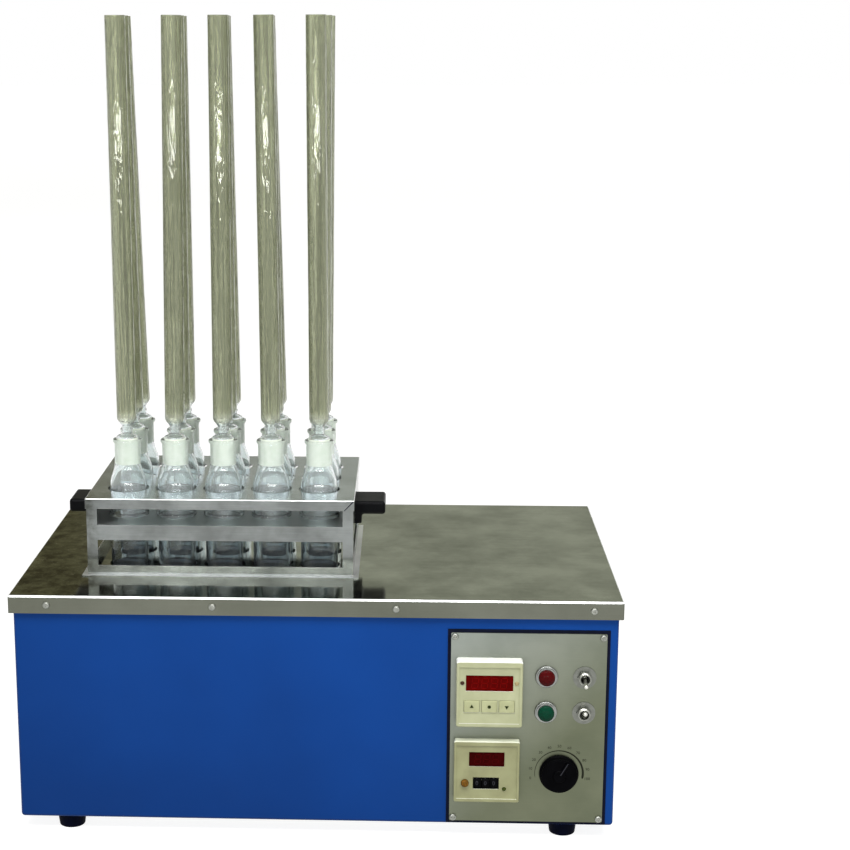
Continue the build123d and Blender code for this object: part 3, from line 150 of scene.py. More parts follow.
def pattern(tree, where, kind, size_mm, **inputs):
    """A texture of the kind, whose lumps or cells are about size_mm long on each axis."""
    size = size_mm if isinstance(size_mm, tuple) else (size_mm,) * 3
    scaled = put(tree, "Mapping", Vector=where, Scale=tuple(1000 / side for side in size))
    return put(tree, kind, Vector=scaled, Scale=1.0, **inputs)


def share_along(tree, where, direction, ends_mm):
    """A share that grows from 0 to 1 between two distances along a direction."""
    reach = put(tree, "VectorMath", {"operation": "DOT_PRODUCT"}, n_0=where, n_1=direction)
    return put(tree, "MapRange", Value=reach, From_Min=mm(ends_mm[0]), From_Max=mm(ends_mm[1]))


def faded(tree, where, tone, direction, ends_mm, ends_tone):
    """Painted light and shade: the tone times a grey running from the first of ends_tone to the second along
    a direction.
    """
    share = share_along(tree, where, direction, ends_mm)
    grey = put(tree, "ValToRGB", {"stops": list(enumerate(ends_tone))}, n_0=share)
    return put(tree, "Mix", {"data_type": "RGBA", "blend_type": "MULTIPLY"}, n_0=1.0, n_6=tone, n_7=grey)


def stained(tree, where, tone, dark, size_mm, direction, ends_mm):
    """The tone with blots of dark, size_mm wide, that thin out along a direction."""
    spots = pattern(tree, where, "TexNoise", size_mm, Detail=6.0, Roughness=0.75)
    blots = put(tree, "ValToRGB", {"stops": [(0.40, linear(dark)), (0.60, 1.0)]}, n_0=spots)
    share = share_along(tree, where, direction, ends_mm)
    thin = put(tree, "Mix", {"data_type": "RGBA"}, n_0=share, n_6=blots, n_7=WHITE)
    return put(tree, "Mix", {"data_type": "RGBA", "blend_type": "MULTIPLY"}, n_0=1.0, n_6=tone, n_7=thin)


def powder_coat(name, colour, deep, painted_light):
    """Powder coat, sprayed and baked: even satin gloss over an orange peel of soft 2.2 mm dimples, with a
    painted shade along a direction.
    """
    material, tree, where = start(name)
    drift = pattern(tree, where, "TexNoise", 140, Detail=2.0)
    tone = put(tree, "ValToRGB", {"stops": [(0.3, linear(deep)), (0.7, linear(colour))]}, n_0=drift)
    # Painted shade: the tone darkens along the direction given by painted_light.
    tone = faded(tree, where, tone, *painted_light)
    peel = pattern(tree, where, "TexNoise", 2.2, Detail=1.0)
    grit = pattern(tree, where, "TexNoise", 0.6, Detail=2.0)
    lumps = put(tree, "Math", {"operation": "MULTIPLY_ADD"}, n_0=grit, n_1=0.25, n_2=peel)
    bump = put(tree, "Bump", Strength=0.10, Distance=mm(0.4), Height=lumps)
    haze = pattern(tree, where, "TexNoise", 60, Detail=3.0)
    gloss = put(tree, "ValToRGB", {"stops": [(0.3, 0.34), (0.7, 0.42)]}, n_0=haze)
    shader = put(tree, "BsdfPrincipled", Base_Color=tone, Roughness=gloss, Normal=bump, IOR=RESIN_IOR,
                 Specular_IOR_Level=0.1)
    put(tree, "OutputMaterial", Surface=shader)
    return material


def brushed_sheet(name, light, dark, roughness, grain_mm=(90, 0.5, 0.5), smudge_mm=120, depth=0.06,
                  painted_light=None, dark_blots=None):
    """Brushed sheet metal: hair lines along the grain, and rolled and handled areas that drift in tone.

    The real hair lines are 0.05 mm apart; they are drawn 0.5 mm apart so that they show."""
    material, tree, where = start(name)
    hairs = pattern(tree, where, "TexNoise", grain_mm, Detail=4.0, Roughness=0.65)
    smudge = pattern(tree, where, "TexNoise", smudge_mm, Detail=4.0, Roughness=0.6)
    mix = put(tree, "Math", {"operation": "MULTIPLY_ADD"}, n_0=hairs, n_1=0.45, n_2=smudge)
    tone = put(tree, "ValToRGB", {"stops": [(0.55, linear(dark)), (0.9, linear(light))]}, n_0=mix)
    # painted_light: a grey grade along a direction, painted light and shade.
    if painted_light:
        tone = faded(tree, where, tone, *painted_light)
    if dark_blots:
        tone = stained(tree, where, tone, *dark_blots)
    gloss = put(tree, "ValToRGB", {"stops": [(0.5, roughness * 0.8), (0.95, roughness * 1.25)]}, n_0=mix)
    bump = put(tree, "Bump", Strength=depth, Distance=mm(0.2), Height=hairs)
    shader = put(tree, "BsdfPrincipled", Base_Color=tone, Roughness=gloss, Normal=bump, Metallic=1.0)
    put(tree, "OutputMaterial", Surface=shader)
    return material


def plain(name, colour, second, roughness, size_mm, grain_mm, depth, metal=False, specular=0.5):
    """Moulded, cast or plated stuff: two close tones drifting over size_mm, and a skin grain of grain_mm."""
    material, tree, where = start(name)
    drift = pattern(tree, where, "TexNoise", size_mm, Detail=3.0)
    tone = put(tree, "ValToRGB", {"stops": [(0.35, linear(second)), (0.65, linear(colour))]}, n_0=drift)
    skin = pattern(tree, where, "TexNoise", grain_mm, Detail=2.0)
    bump = put(tree, "Bump", Strength=depth, Distance=mm(0.1), Height=skin)
    haze = pattern(tree, where, "TexNoise", size_mm * 1.7, Detail=3.0)
    gloss = put(tree, "ValToRGB", {"stops": [(0.3, roughness * 0.85), (0.7, roughness * 1.15)]}, n_0=haze)
    stuff = {"Metallic": 1.0} if metal else {"IOR": RESIN_IOR, "Specular_IOR_Level": specular}
    shader = put(tree, "BsdfPrincipled", Base_Color=tone, Roughness=gloss, Normal=bump, **stuff)
    put(tree, "OutputMaterial", Surface=shader)
    return material


def drawn_glass(name, tint, streak, clear, lump_mm, foot=None):
    """Borosilicate tube, drawn and flame worked: faint tint in long vertical streaks (cords), and a skin
    that rises and falls by lump_mm every 30 mm. foot is (colour, ends_mm): the colour at the lower height
    runs out into the tint at the upper one, so that the tint pales towards the tube's foot."""
    material, tree, where = start(name)
    cords = pattern(tree, where, "TexNoise", (3.0, 3.0, 260), Detail=3.0, Roughness=0.6)
    tone = put(tree, "ValToRGB", {"stops": [(0.35, linear(streak)), (0.65, linear(tint))]}, n_0=cords)
    if foot:
        share = share_along(tree, where, UPWARDS, foot[1])
        tone = put(tree, "Mix", {"data_type": "RGBA"}, n_0=share, n_6=linear(foot[0]), n_7=tone)
    lumps = pattern(tree, where, "TexNoise", (3, 3, 30), Detail=2.0)
    bump = put(tree, "Bump", Strength=1.0, Distance=mm(lump_mm), Height=lumps)
    shader = put(tree, "BsdfPrincipled", Base_Color=tone, Normal=bump, Roughness=0.0, IOR=GLASS_IOR,
                 Transmission_Weight=clear)
    put(tree, "OutputMaterial", Surface=shader)
    return material


def ground_glass(name):
    """Ground joint glass: wheel-ground to a fine white frost, with faint turning lines 0.6 mm apart."""
    material, tree, where = start(name)
    rings = pattern(tree, where, "TexNoise", (60, 60, 0.6), Detail=2.0)
    drift = pattern(tree, where, "TexNoise", 6, Detail=2.0)
    tone = put(tree, "ValToRGB", {"stops": [(0.3, linear("#ebf3e3")), (0.7, linear("#f7fcf0"))]}, n_0=drift)
    bump = put(tree, "Bump", Strength=0.15, Distance=mm(0.1), Height=rings)
    shader = put(tree, "BsdfPrincipled", Base_Color=tone, Normal=bump, Roughness=0.55, IOR=GLASS_IOR,
                 Transmission_Weight=0.15)
    put(tree, "OutputMaterial", Surface=shader)
    return material


def dyed_lens(name, colour, deep, roughness=0.12):
    """Cast acrylic dyed through: deep colour, clear gloss, and small moulded facets 1.4 mm across inside."""
    material, tree, where = start(name)
    cells = pattern(tree, where, "TexVoronoi", 1.4)
    tone = put(tree, "ValToRGB", {"stops": [(0.0, linear(colour)), (0.6, linear(deep))]}, n_0=cells)
    bump = put(tree, "Bump", Strength=0.08, Distance=mm(0.2), Height=cells)
    shader = put(tree, "BsdfPrincipled", Base_Color=tone, Normal=bump, Roughness=roughness, IOR=ACRYLIC_IOR,
                 Specular_IOR_Level=0.06)
    put(tree, "OutputMaterial", Surface=shader)
    return material


# Sprayed box: an even, deep blue satin, with a painted shade that makes it dimmer towards the left and the
# foot.
BOX_PAINTED_SHADE = ((0.35, 0.0, 0.94), (-70, 280), (0.66, 1.0))
blue_coat = powder_coat("blue_powder_coat", "#0d4493", "#0a3e88", BOX_PAINTED_SHADE)

# Stainless cover: nearly a mirror, with cloudy wiping marks, and darker brown blots at its left end.
COVER_BLOTS = ("#7a7058", 22, (1.0, 0.25, 0.0), (-300, -190))
cover_steel = brushed_sheet("cover_stainless_brushed", "#dde1d3", "#a1a596", 0.08, smudge_mm=80, depth=0.03,
                            dark_blots=COVER_BLOTS)
# Painted shade: the cover's walls take this darker copy of its steel.
skirt_painted_shade_steel = brushed_sheet("skirt_stainless_painted_shade", "#6b6d63", "#5d5f55", 0.22)

# Rack: polished walls that mirror dark surroundings, with dark blots at the left end, a painted shade; softer
# bends that catch a light line, painted white; a bright lid, a painted highlight on the tops.
RACK_PAINTED_SHADE = ("#b4b4ae", 30, (1.0, 0.0, 0.0), (-250, -240))
rack_steel = brushed_sheet("rack_stainless_polished", "#868a89", "#676a69", 0.14, grain_mm=(60, 60, 0.6),
                           smudge_mm=50, dark_blots=RACK_PAINTED_SHADE)
# Painted highlight: bends and upward faces of the cover, the rack lid and the rack frame are painted white.
bend_painted_highlight_steel = brushed_sheet("bend_stainless_painted_highlight", "#ffffff", "#f0f3f2", 0.38, grain_mm=(60, 0.6, 0.6),
                           smudge_mm=50)
rack_lid_painted_highlight_steel = brushed_sheet("rack_lid_stainless_painted_highlight", "#eef5fa", "#dae2e8", 0.20,
                               grain_mm=(60, 0.6, 60), smudge_mm=50)
shelf_steel = brushed_sheet("shelf_stainless_matt", "#cdd1d0", "#b9bdbb", 0.34, smudge_mm=50)
zinc_sheet = brushed_sheet("zinc_plated_sheet", "#b9bbb6", "#95978f", 0.35, smudge_mm=20, depth=0.03)

# Anodised panel: matt, finely brushed across, warmer and darker towards its lower right corner, a painted
# reflection.
PANEL_PAINTED_REFLECTION = ((-0.7, 0.0, 0.7), (-110, 46), ((0.54, 0.54, 0.40, 1.0), 1.0))
panel_aluminium = brushed_sheet("panel_anodised_brushed", "#8e938c", "#7f857e", 0.42,
                                grain_mm=(50, 0.5, 0.35), smudge_mm=70, painted_light=PANEL_PAINTED_REFLECTION)

# Nickel plate over turned or pressed parts: close, soft reflections with no grain to be seen.
screw_nickel = plain("screw_nickel_plated", "#9a9c95", "#868881", 0.30, 3.0, 0.4, 0.03, metal=True)
switch_nickel = plain("switch_nickel_satin", "#777973", "#696b65", 0.34, 6.0, 0.5, 0.02, metal=True)
bezel_nickel = plain("bezel_nickel_plated", "#8d8f8c", "#7a7c79", 0.24, 6.0, 0.5, 0.01, metal=True)
lever_nickel = plain("lever_nickel_satin", "#d2d2ca", "#bdbdb4", 0.34, 6.0, 0.5, 0.01, metal=True)

# Moulded rubber and cut sheet: near black, matt, a faint blue cast. The black sheet also serves as the
# painted shadow in the rack lid's corner seam.
foot_rubber = plain("moulded_black_rubber", "#020411", "#04071a", 0.62, 6.0, 0.6, 0.2, specular=0.03)
gasket_and_seam_shadow_sheet = plain("gasket_and_seam_shadow_black", "#030718", "#060b22", 0.55, 10.0, 0.6, 0.1, specular=0.08)

# Moulded cream ABS, aged to yellow green: soft gloss. The lips that face up are painted near white, a painted
# highlight.
controller_abs = plain("controller_cream_abs", "#b4b792", "#aaad87", 0.34, 22.0, 0.5, 0.05)
controller_lip_painted_highlight = plain("controller_lip_painted_highlight_abs", "#f3f4ee", "#eaebe2", 0.30, 22.0, 0.5, 0.05)
timer_abs = plain("timer_cream_abs", "#989970", "#8b8b64", 0.34, 22.0, 0.5, 0.05)
timer_lip_painted_highlight = plain("timer_lip_painted_highlight_abs", "#dfe2cc", "#d3d6bd", 0.30, 22.0, 0.5, 0.05)
key_abs = plain("key_cream_abs", "#b3b68b", "#a9ac81", 0.40, 9.0, 0.4, 0.06)

# Dark red filter sheet over unlit bars: flat, deep colour with almost no shine of its own.
red_filter = plain("red_acrylic_filter", "#5e0403", "#510302", 0.12, 6.0, 0.5, 0.01, specular=0.015)
timer_filter = plain("dark_red_acrylic_filter", "#3a0303", "#300202", 0.14, 6.0, 0.5, 0.01, specular=0.015)
red_segment = plain("unlit_segment_red", "#740706", "#680605", 0.25, 4.0, 0.5, 0.01, specular=0.015)
timer_segment = plain("unlit_segment_dark", "#4a0408", "#420406", 0.25, 4.0, 0.5, 0.01, specular=0.015)

# Printed inks: thin, matt, dark. The grey line on the knob's ridge is a painted highlight.
olive_ink = plain("printed_ink_olive", "#232a10", "#2f3619", 0.5, 2.0, 0.3, 0.02, specular=0.1)
dial_ink = plain("printed_ink_dark", "#15170d", "#1f2116", 0.5, 2.0, 0.3, 0.02, specular=0.1)
wheel_ink = plain("thumbwheel_number_grey", "#37373d", "#2c2c32", 0.5, 2.0, 0.3, 0.02, specular=0.2)
ridge_painted_highlight = plain("knob_ridge_painted_highlight", "#2c2c33", "#232329", 0.4, 3.0, 0.4, 0.03, specular=0.2)

# Cast, dyed caps and lenses, all unlit: the colour sits deep and the facets only just show.
indicator_brown = dyed_lens("indicator_unlit_brown", "#6b5346", "#3d2c22", 0.2)
indicator_beige = dyed_lens("indicator_unlit_beige", "#b9ad83", "#a3966c", 0.2)
indicator_green = dyed_lens("indicator_unlit_green", "#5d6b2c", "#38421a", 0.2)
amber_cap = dyed_lens("amber_acetal_cap", "#94601f", "#5f4316", 0.2)
ruby_lens = dyed_lens("ruby_acrylic_lens", "#5a080b", "#420506")
green_lens = dyed_lens("green_acrylic_lens", "#074832", "#053524")

# Moulded phenolic and black ABS: dense black with a low sheen.
phenolic = plain("black_phenolic", "#020203", "#050507", 0.30, 12.0, 0.7, 0.03, specular=0.02)
handle_phenolic = plain("handle_black_phenolic", "#040406", "#08090b", 0.32, 12.0, 0.7, 0.05, specular=0.06)
wheel_abs = plain("thumbwheel_black_abs", "#030304", "#060607", 0.40, 5.0, 0.4, 0.05, specular=0.02)
inlet_nylon = plain("inlet_black_nylon", "#0e0f11", "#17181b", 0.45, 8.0, 0.5, 0.05)

# Inner parts: machined casting, oxidised sheath steel, chalky fibre board, cast resin.
cast_block = brushed_sheet("cast_aluminium_machined", "#c0c2c2", "#9da0a0", 0.35, grain_mm=(0.8, 40, 0.8),
                           smudge_mm=30)
heater_steel = plain("heater_sheath_steel", "#7a756b", "#5b564e", 0.45, 8.0, 0.5, 0.05, metal=True)
fibre_board = plain("ceramic_fibre_board", "#e6dfcf", "#d3cab6", 0.9, 6.0, 0.8, 0.5)
relay_resin = plain("relay_cream_resin", "#d8d0b8", "#c9c0a6", 0.5, 8.0, 0.5, 0.05)

# Glass: the long tubes are streaked and grey green, the vessels clear, the joints frosted white. The tubes'
# grey green is painted, for the surroundings seen through the glass; their streaks are partly the glass's
# cords and partly painted, for other tubes seen through them; the tint pales towards each tube's foot.
TUBE_FOOT = ("#dde1d2", (RIM + 16, RIM + 32))
tube_glass_painted_surroundings = drawn_glass("borosilicate_drawn_painted_surroundings", "#b9bea0", "#8f9378", 0.74, 1.3, TUBE_FOOT)
bore_glass = drawn_glass("borosilicate_bore", "#fdfdfa", "#f2f3ea", 1.0, 0.3)
vessel_glass = drawn_glass("borosilicate_blown", "#fafeff", "#edf4f2", 0.92, 0.06)
body_glass = drawn_glass("borosilicate_body", "#e8eef2", "#dfe6ea", 0.96, 0.06)
frosted_glass = ground_glass("ground_joint_frost")


# ---- meshes

def closed(mesh, sharp_deg, whole_flats=False):
    """Merges doubles, points faces outwards, smooths everything but edges sharper than sharp_deg.

    whole_flats also joins the triangles of each flat into one face."""
    work = bmesh.new()
    work.from_mesh(mesh)
    bmesh.ops.remove_doubles(work, verts=work.verts, dist=1e-7)
    bmesh.ops.dissolve_degenerate(work, edges=work.edges, dist=1e-8)
    bmesh.ops.recalc_face_normals(work, faces=work.faces)
    if whole_flats:
        bmesh.ops.dissolve_limit(work, angle_limit=math.radians(0.1), verts=work.verts, edges=work.edges)
    work.to_mesh(mesh)
    work.free()
    mesh.shade_smooth()
    mesh.set_sharp_from_angle(angle=math.radians(sharp_deg))
    mesh.update()


def piece(name, mesh, materials, body, replaced=()):
    """Links the mesh as a piece that rides on body and stands for the replaced nodes."""
    made = bpy.data.objects.new(name, mesh)
    bpy.context.scene.collection.objects.link(made)
    for material in materials:
        mesh.materials.append(material)
    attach(made, body)
    if replaced:
        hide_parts(*replaced)
    return made


def grid_mesh(name, grids, wrap, slots=None, sharp_deg=40):
    """Quads over each grid of points (rows, columns, xyz) in millimetres.

    wrap says whether rows and columns close on themselves; slots is a material index for every row."""
    points, faces, indices, offset = [], [], [], 0
    for grid in grids:
        rows, columns = grid.shape[:2]
        down = np.arange(rows if wrap[0] else rows - 1)
        across = np.arange(columns if wrap[1] else columns - 1)
        i, j = np.meshgrid(down, across, indexing="ij")
        ni, nj = (i + 1) % rows, (j + 1) % columns
        corners = [i * columns + j, i * columns + nj, ni * columns + nj, ni * columns + j]
        points.append(grid.reshape(-1, 3))
        faces.append(np.stack(corners, -1).reshape(-1, 4) + offset)
        row_slots = np.zeros(rows, int) if slots is None else np.asarray(slots)
        indices.append(row_slots[i].reshape(-1))
        offset += rows * columns
    mesh = bpy.data.meshes.new(name)
    mesh.from_pydata(mm(np.concatenate(points)).tolist(), [], np.concatenate(faces).tolist())
    mesh.polygons.foreach_set("material_index", np.concatenate(indices).astype(np.int32))
    closed(mesh, sharp_deg)
    return mesh


def ringed_piece(name, grids, material, body, replaced=()):
    """A piece of one material from grids whose rows are closed rings."""
    return piece(name, grid_mesh(name, grids, (False, True)), [material], body, replaced)


def softened(corners, steps=7):
    """Outline through (radius, height, rounding) corners: each corner becomes a quadratic curve between
    the points one rounding away from it along its two sides. Returns points, and the corner of each."""
    corner = np.array(corners, float)
    here, before, after = corner[:, :2], np.roll(corner[:, :2], 1, 0), np.roll(corner[:, :2], -1, 0)
    span = np.linspace(0, 1, steps)[:, None]
    points, owner = [], []
    for n, (p, a, b, r) in enumerate(zip(here, before, after, corner[:, 2])):
        if r <= 0:
            points.append(p[None])
            owner.append([n])
            continue
        to_a, to_b = (a - p) / np.linalg.norm(a - p), (b - p) / np.linalg.norm(b - p)
        pa, pb = p + to_a * r, p + to_b * r
        points.append(pa * (1 - span) ** 2 + 2 * p * span * (1 - span) + pb * span ** 2)
        owner.append([n] * steps)
    return np.concatenate(points), np.concatenate(owner)


def turned_grid(outline, centre, around, lean_deg=0.0, pivot=0.0, wave=None):
    """Outline of (radius, height) turned about a vertical axis at centre (x, y, z).

    Above pivot the axis leans about Y by lean_deg, by a smooth step over 6 mm. wave(angle, height) scales
    the radius."""
    turn = np.linspace(0, 2 * np.pi, around, endpoint=False)[None, :]
    radius, height = outline[:, :1], outline[:, 1:]
    if wave is not None:
        radius = radius * wave(turn, height)
    x, y, z = radius * np.cos(turn), radius * np.sin(turn), height + 0 * turn
    ease = np.clip((z - pivot + 3) / 6, 0, 1)
    lean = math.radians(lean_deg) * ease * ease * (3 - 2 * ease)
    rise = z - pivot
    leaned_x = x * np.cos(lean) + rise * np.sin(lean)
    leaned_z = -x * np.sin(lean) + rise * np.cos(lean) + pivot
    return np.stack([leaned_x, y, leaned_z], -1) + np.array(centre)


def on_front(u, v, w, x, z, face):
    """Points in the plane of the panel: u to the right, v up, w out of the panel, from (x, z) on face."""
    return np.stack(np.broadcast_arrays(x + u, face - w, z + v), -1)


def front_turned(outline, x, z, face, around, wave=None):
    """Outline of (radius, height) turned about an axis that stands out of the panel at (x, z)."""
    turn = np.linspace(0, 2 * np.pi, around, endpoint=False)[None, :]
    radius, height = outline[:, :1], outline[:, 1:]
    if wave is not None:
        radius = radius * wave(turn, height)
    return on_front(radius * np.cos(turn), radius * np.sin(turn), height + 0 * turn, x, z, face)


def slab(outline, x, z, face, thick):
    """A thin plate on the panel: fan from its middle to its outline, front and back."""
    ring = np.array(outline, float)
    middle = np.broadcast_to(ring.mean(0), ring.shape)
    rows = [(middle, thick), (ring, thick), (ring, 0.0), (middle, 0.0)]
    return np.stack([on_front(p[:, 0], p[:, 1], np.full(len(p), w), x, z, face) for p, w in rows])


def written(text, size):
    """Plain numbers as a mesh lying in its own x-y plane, in millimetres: (points, faces)."""
    curve = bpy.data.curves.new("number", "FONT")
    curve.body = text
    curve.size = size
    curve.extrude = INK_THICK / 2
    curve.align_x = "CENTER"
    curve.align_y = "CENTER"
    curve.resolution_u = 3
    holder = bpy.data.objects.new("number", curve)
    mesh = bpy.data.meshes.new_from_object(holder)
    flat = np.zeros(len(mesh.vertices) * 3)
    mesh.vertices.foreach_get("co", flat)
    faces = [tuple(p.vertices) for p in mesh.polygons]
    bpy.data.objects.remove(holder)
    bpy.data.curves.remove(curve)
    bpy.data.meshes.remove(mesh)
    return flat.reshape(-1, 3), faces


def joined(name, parts):
    """One mesh from several (points, faces) lists in millimetres."""
    points, faces, offset = [], [], 0
    for part_points, part_faces in parts:
        points.append(part_points)
        faces += [tuple(v + offset for v in face) for face in part_faces]
        offset += len(part_points)
    mesh = bpy.data.meshes.new(name)
    mesh.from_pydata(mm(np.concatenate(points)).tolist(), [], faces)
    closed(mesh, 30)
    return mesh


def merged_copy(node, materials, body, rises=(), edge_mm=0.0):
    """A copy of a CAD node that replaces it, merged and smoothed so that its rounded edges shade as curves.

    Each corner's normal is weighted by face area, so the flats stay flat. A face takes the first material
    if its normal rises by more than the first of rises, the second down to the next, and so on. edge_mm
    breaks sharp edges with a small bevel."""
    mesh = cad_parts[node].data.copy()
    mesh.materials.clear()
    closed(mesh, 35, True)
    normals = np.zeros(len(mesh.polygons) * 3)
    mesh.polygons.foreach_get("normal", normals)
    slots = sum((normals[2::3] < rise).astype(np.int32) for rise in rises)
    mesh.polygons.foreach_set("material_index", slots + np.zeros(len(mesh.polygons), np.int32))
    made = piece(node + "_skin", mesh, materials, body, [node])
    if edge_mm:
        edge = made.modifiers.new("edge", "BEVEL")
        edge.width = mm(edge_mm)
        edge.segments = 2
        edge.limit_method = "ANGLE"
        edge.angle_limit = math.radians(50)
    flats = made.modifiers.new("flats", "WEIGHTED_NORMAL")
    flats.weight = 100
    flats.keep_sharp = True


# ---- glass

# (radius, height above the cover, rounding), from the base up the outside and back down the inside.
VESSEL_CORNERS = [
    (0, -68, 0), (21, -68, 7), (21, 57.7, 0), (22.7, 57.7, 0.5), (22.7, 61.7, 1.2), (21, 61.7, 0.3),
    (21, 96, 9), (14.6, 113, 6), (14.6, 141, 0.3), (16.4, 141, 1.5), (16.4, 145, 1.5), (12.15, 145, 0.3),
    (10.7, 116, 0), (12.6, 112, 3), (19, 94.5, 8), (19, 57, 0), (19, -65.8, 5), (0, -65.8, 0),
]
GROUND_SOCKET, BODY = [11], [0, 1, 15, 16]
VESSEL_AROUND = 72

# (radius, height above the vessel's rim, rounding), from the cone up the outside and back down the bore.
CONDENSER_CORNERS = [
    (8.6, -26, 0.3), (10.7, -26, 0.3), (12.0, 3, 1.5), (5.75, 6, 0.8), (5.75, 9.0, 0), (6.5, 9.6, 0.3),
    (6.7, 10.5, 0.5), (6.5, 11.4, 0.3), (5.75, 12.0, 0), (5.75, 15, 0.8), (11, 22, 3), (11, 60, 0),
    (11, 160, 0), (11, 260, 0), (11, 360, 0), (11, 463.7, 0.8), (9.3, 463.7, 0.8), (9.3, 360, 0),
    (9.3, 260, 0), (9.3, 160, 0), (9.3, 60, 0), (9.3, 23, 3), (3.75, 16, 0.8), (4.5, 10.5, 1.5),
    (3.75, 5, 0.8), (9.8, 1, 1.2),
]
GROUND_CONE = [1]
BLOWN_NECK = [0, 2, 3, 4, 5, 6, 7, 8, 9, 22, 23, 24, 25]
BORE = [16, 17, 18, 19, 20, 21]
CONDENSER_AROUND = 64
WAVE_SHARE, LONG_WAVE, SHORT_WAVE = 0.006, 41, 23
WAVE_LOW, WAVE_HIGH, WAVE_EASE = 30, 455, 60


def vessel_grid(x, y):
    """A digestion vessel: outer wall from base to rim and inner wall back down, turned about its axis.

    The wall between the socket's two ends is the ground part; the body is what stands below the bead."""
    outline, owner = softened(VESSEL_CORNERS)
    slots = np.isin(owner, GROUND_SOCKET) + 2 * np.isin(owner, BODY)
    return turned_grid(outline, (x, y, COVER_TOP), VESSEL_AROUND), slots


def condenser_grid(x, y, lean, seed):
    """An air condenser: ground cone, neck with its knot and long tube, a closed wall turned about its axis.

    The tube's bore and skin share a slow wave, a quarter of a millimetre from crest to trough, as hand-drawn
    tube has: a sine of the height times a sine of the turn, plus a shorter sine of the height."""
    outline, owner = softened(CONDENSER_CORNERS)

    def wave(turn, height):
        bend = np.sin(height / LONG_WAVE + seed * 1.7) * np.sin(turn + seed)
        swell = bend + np.sin(height / SHORT_WAVE + seed)
        low_end = np.clip((height - WAVE_LOW) / WAVE_EASE, 0, 1)
        high_end = np.clip((WAVE_HIGH - height) / WAVE_EASE, 0, 1)
        return 1 + WAVE_SHARE * swell * low_end * high_end

    slots = np.isin(owner, GROUND_CONE) + 2 * np.isin(owner, BLOWN_NECK) + 3 * np.isin(owner, BORE)
    return turned_grid(outline, (x, y, RIM), CONDENSER_AROUND, lean, KNOT - RIM, wave), slots


for row_number, row in enumerate(ROWS):
    made = [vessel_grid(x, y) for x, y in vessel_places(row)]
    name = "vessels_" + row + "_glass"
    mesh = grid_mesh(name, [grid for grid, _ in made], (False, True), made[0][1], 60)
    piece(name, mesh, [vessel_glass, frosted_glass, body_glass], "rack", ["vessels_" + row])
    for column, (x, y) in enumerate(vessel_places(row)):
        node = f"condenser_{row}_{column + 1}"
        grid, slots = condenser_grid(x, y, TUBE_LEAN_DEG[row][column], row_number * COLUMNS + column)
        mesh = grid_mesh(node + "_glass", [grid], (True, True), slots, 60)
        piece(node + "_glass", mesh, [tube_glass_painted_surroundings, frosted_glass, vessel_glass, bore_glass], node, [node])


# ---- casing, cover and rack

CAD_FINISH = {
    "bottom_plate": zinc_sheet, "back_panel": blue_coat, "case_screws": screw_nickel,
    "panel_gasket": gasket_and_seam_shadow_sheet, "control_panel": panel_aluminium, "toggle_bodies": switch_nickel,
    "block_tray": zinc_sheet, "tray_legs": zinc_sheet, "heating_block": cast_block,
    "heater_rods": heater_steel, "insulation_box": fibre_board, "temperature_probe": heater_steel,
    "solid_state_relay": relay_resin, "power_regulator": inlet_nylon, "power_inlet": inlet_nylon,
    "rack_shelf": shelf_steel, "handle_screws": screw_nickel, "controller_window": red_filter,
    "timer_window": timer_filter, "thumbwheel_hundreds": wheel_abs, "thumbwheel_tens": wheel_abs,
    "thumbwheel_units": wheel_abs,
}
for node, finish in CAD_FINISH.items():
    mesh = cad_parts[node].data
    mesh.materials.clear()
    mesh.materials.append(finish)

# Tops above the first rise, rounded bends between the two, and walls below the second. Each face takes a
# lighter or darker copy of its finish by the way it faces: painted highlight and painted shade.
TOP_AND_WALL = (0.97, 0.12)
LIP_RISE = (0.12,)
FLANGE_RISE = (0.5,)
merged_copy("casing", [blue_coat], "base")
merged_copy("top_cover", [cover_steel, bend_painted_highlight_steel, skirt_painted_shade_steel], "base", TOP_AND_WALL)
merged_copy("rack_top", [rack_lid_painted_highlight_steel, bend_painted_highlight_steel, rack_steel], "rack", TOP_AND_WALL)
merged_copy("rubber_feet", [foot_rubber], "base")
merged_copy("rack_handles", [handle_phenolic], "rack")
merged_copy("rack_frame", [bend_painted_highlight_steel, rack_steel], "rack", FLANGE_RISE, edge_mm=0.5)
merged_copy("controller_case", [controller_lip_painted_highlight, controller_abs], "base", LIP_RISE)
merged_copy("timer_case", [timer_lip_painted_highlight, timer_abs], "base", LIP_RISE)
merged_copy("lamp_bezels", [bezel_nickel], "base")
merged_copy("toggle_lever_upper", [lever_nickel], "toggle_lever_upper")
merged_copy("toggle_lever_lower", [lever_nickel], "toggle_lever_lower")
merged_copy("timer_button", [amber_cap], "timer_button")
merged_copy("timer_led", [indicator_green], "base")
for key in ("key_up", "key_set", "key_down"):
    merged_copy(key, [key_abs], key)


def corner_seam():
    """The slanting gap where two folds of the rack's lid meet at its front right corner: a thin near-black
    strip laid on the steel, a painted shadow for the gap.
    """
    low, high = node_box("rack_top")
    inset, width, proud = 1.0, 0.9, 0.05
    drop = high[2] - low[2] - inset
    strip = [(width - drop, -drop), (0, -width), (0, 0), (-width, 0), (-drop, -drop)]
    return slab(strip, high[0] - inset, high[2] - inset, low[1], proud)


# Painted shadow: the gap is real, its darkness is painted on this strip.
ringed_piece("lid_corner_seam_painted_shadow", [corner_seam()], gasket_and_seam_shadow_sheet, "rack")


# ---- lenses, knob and dial

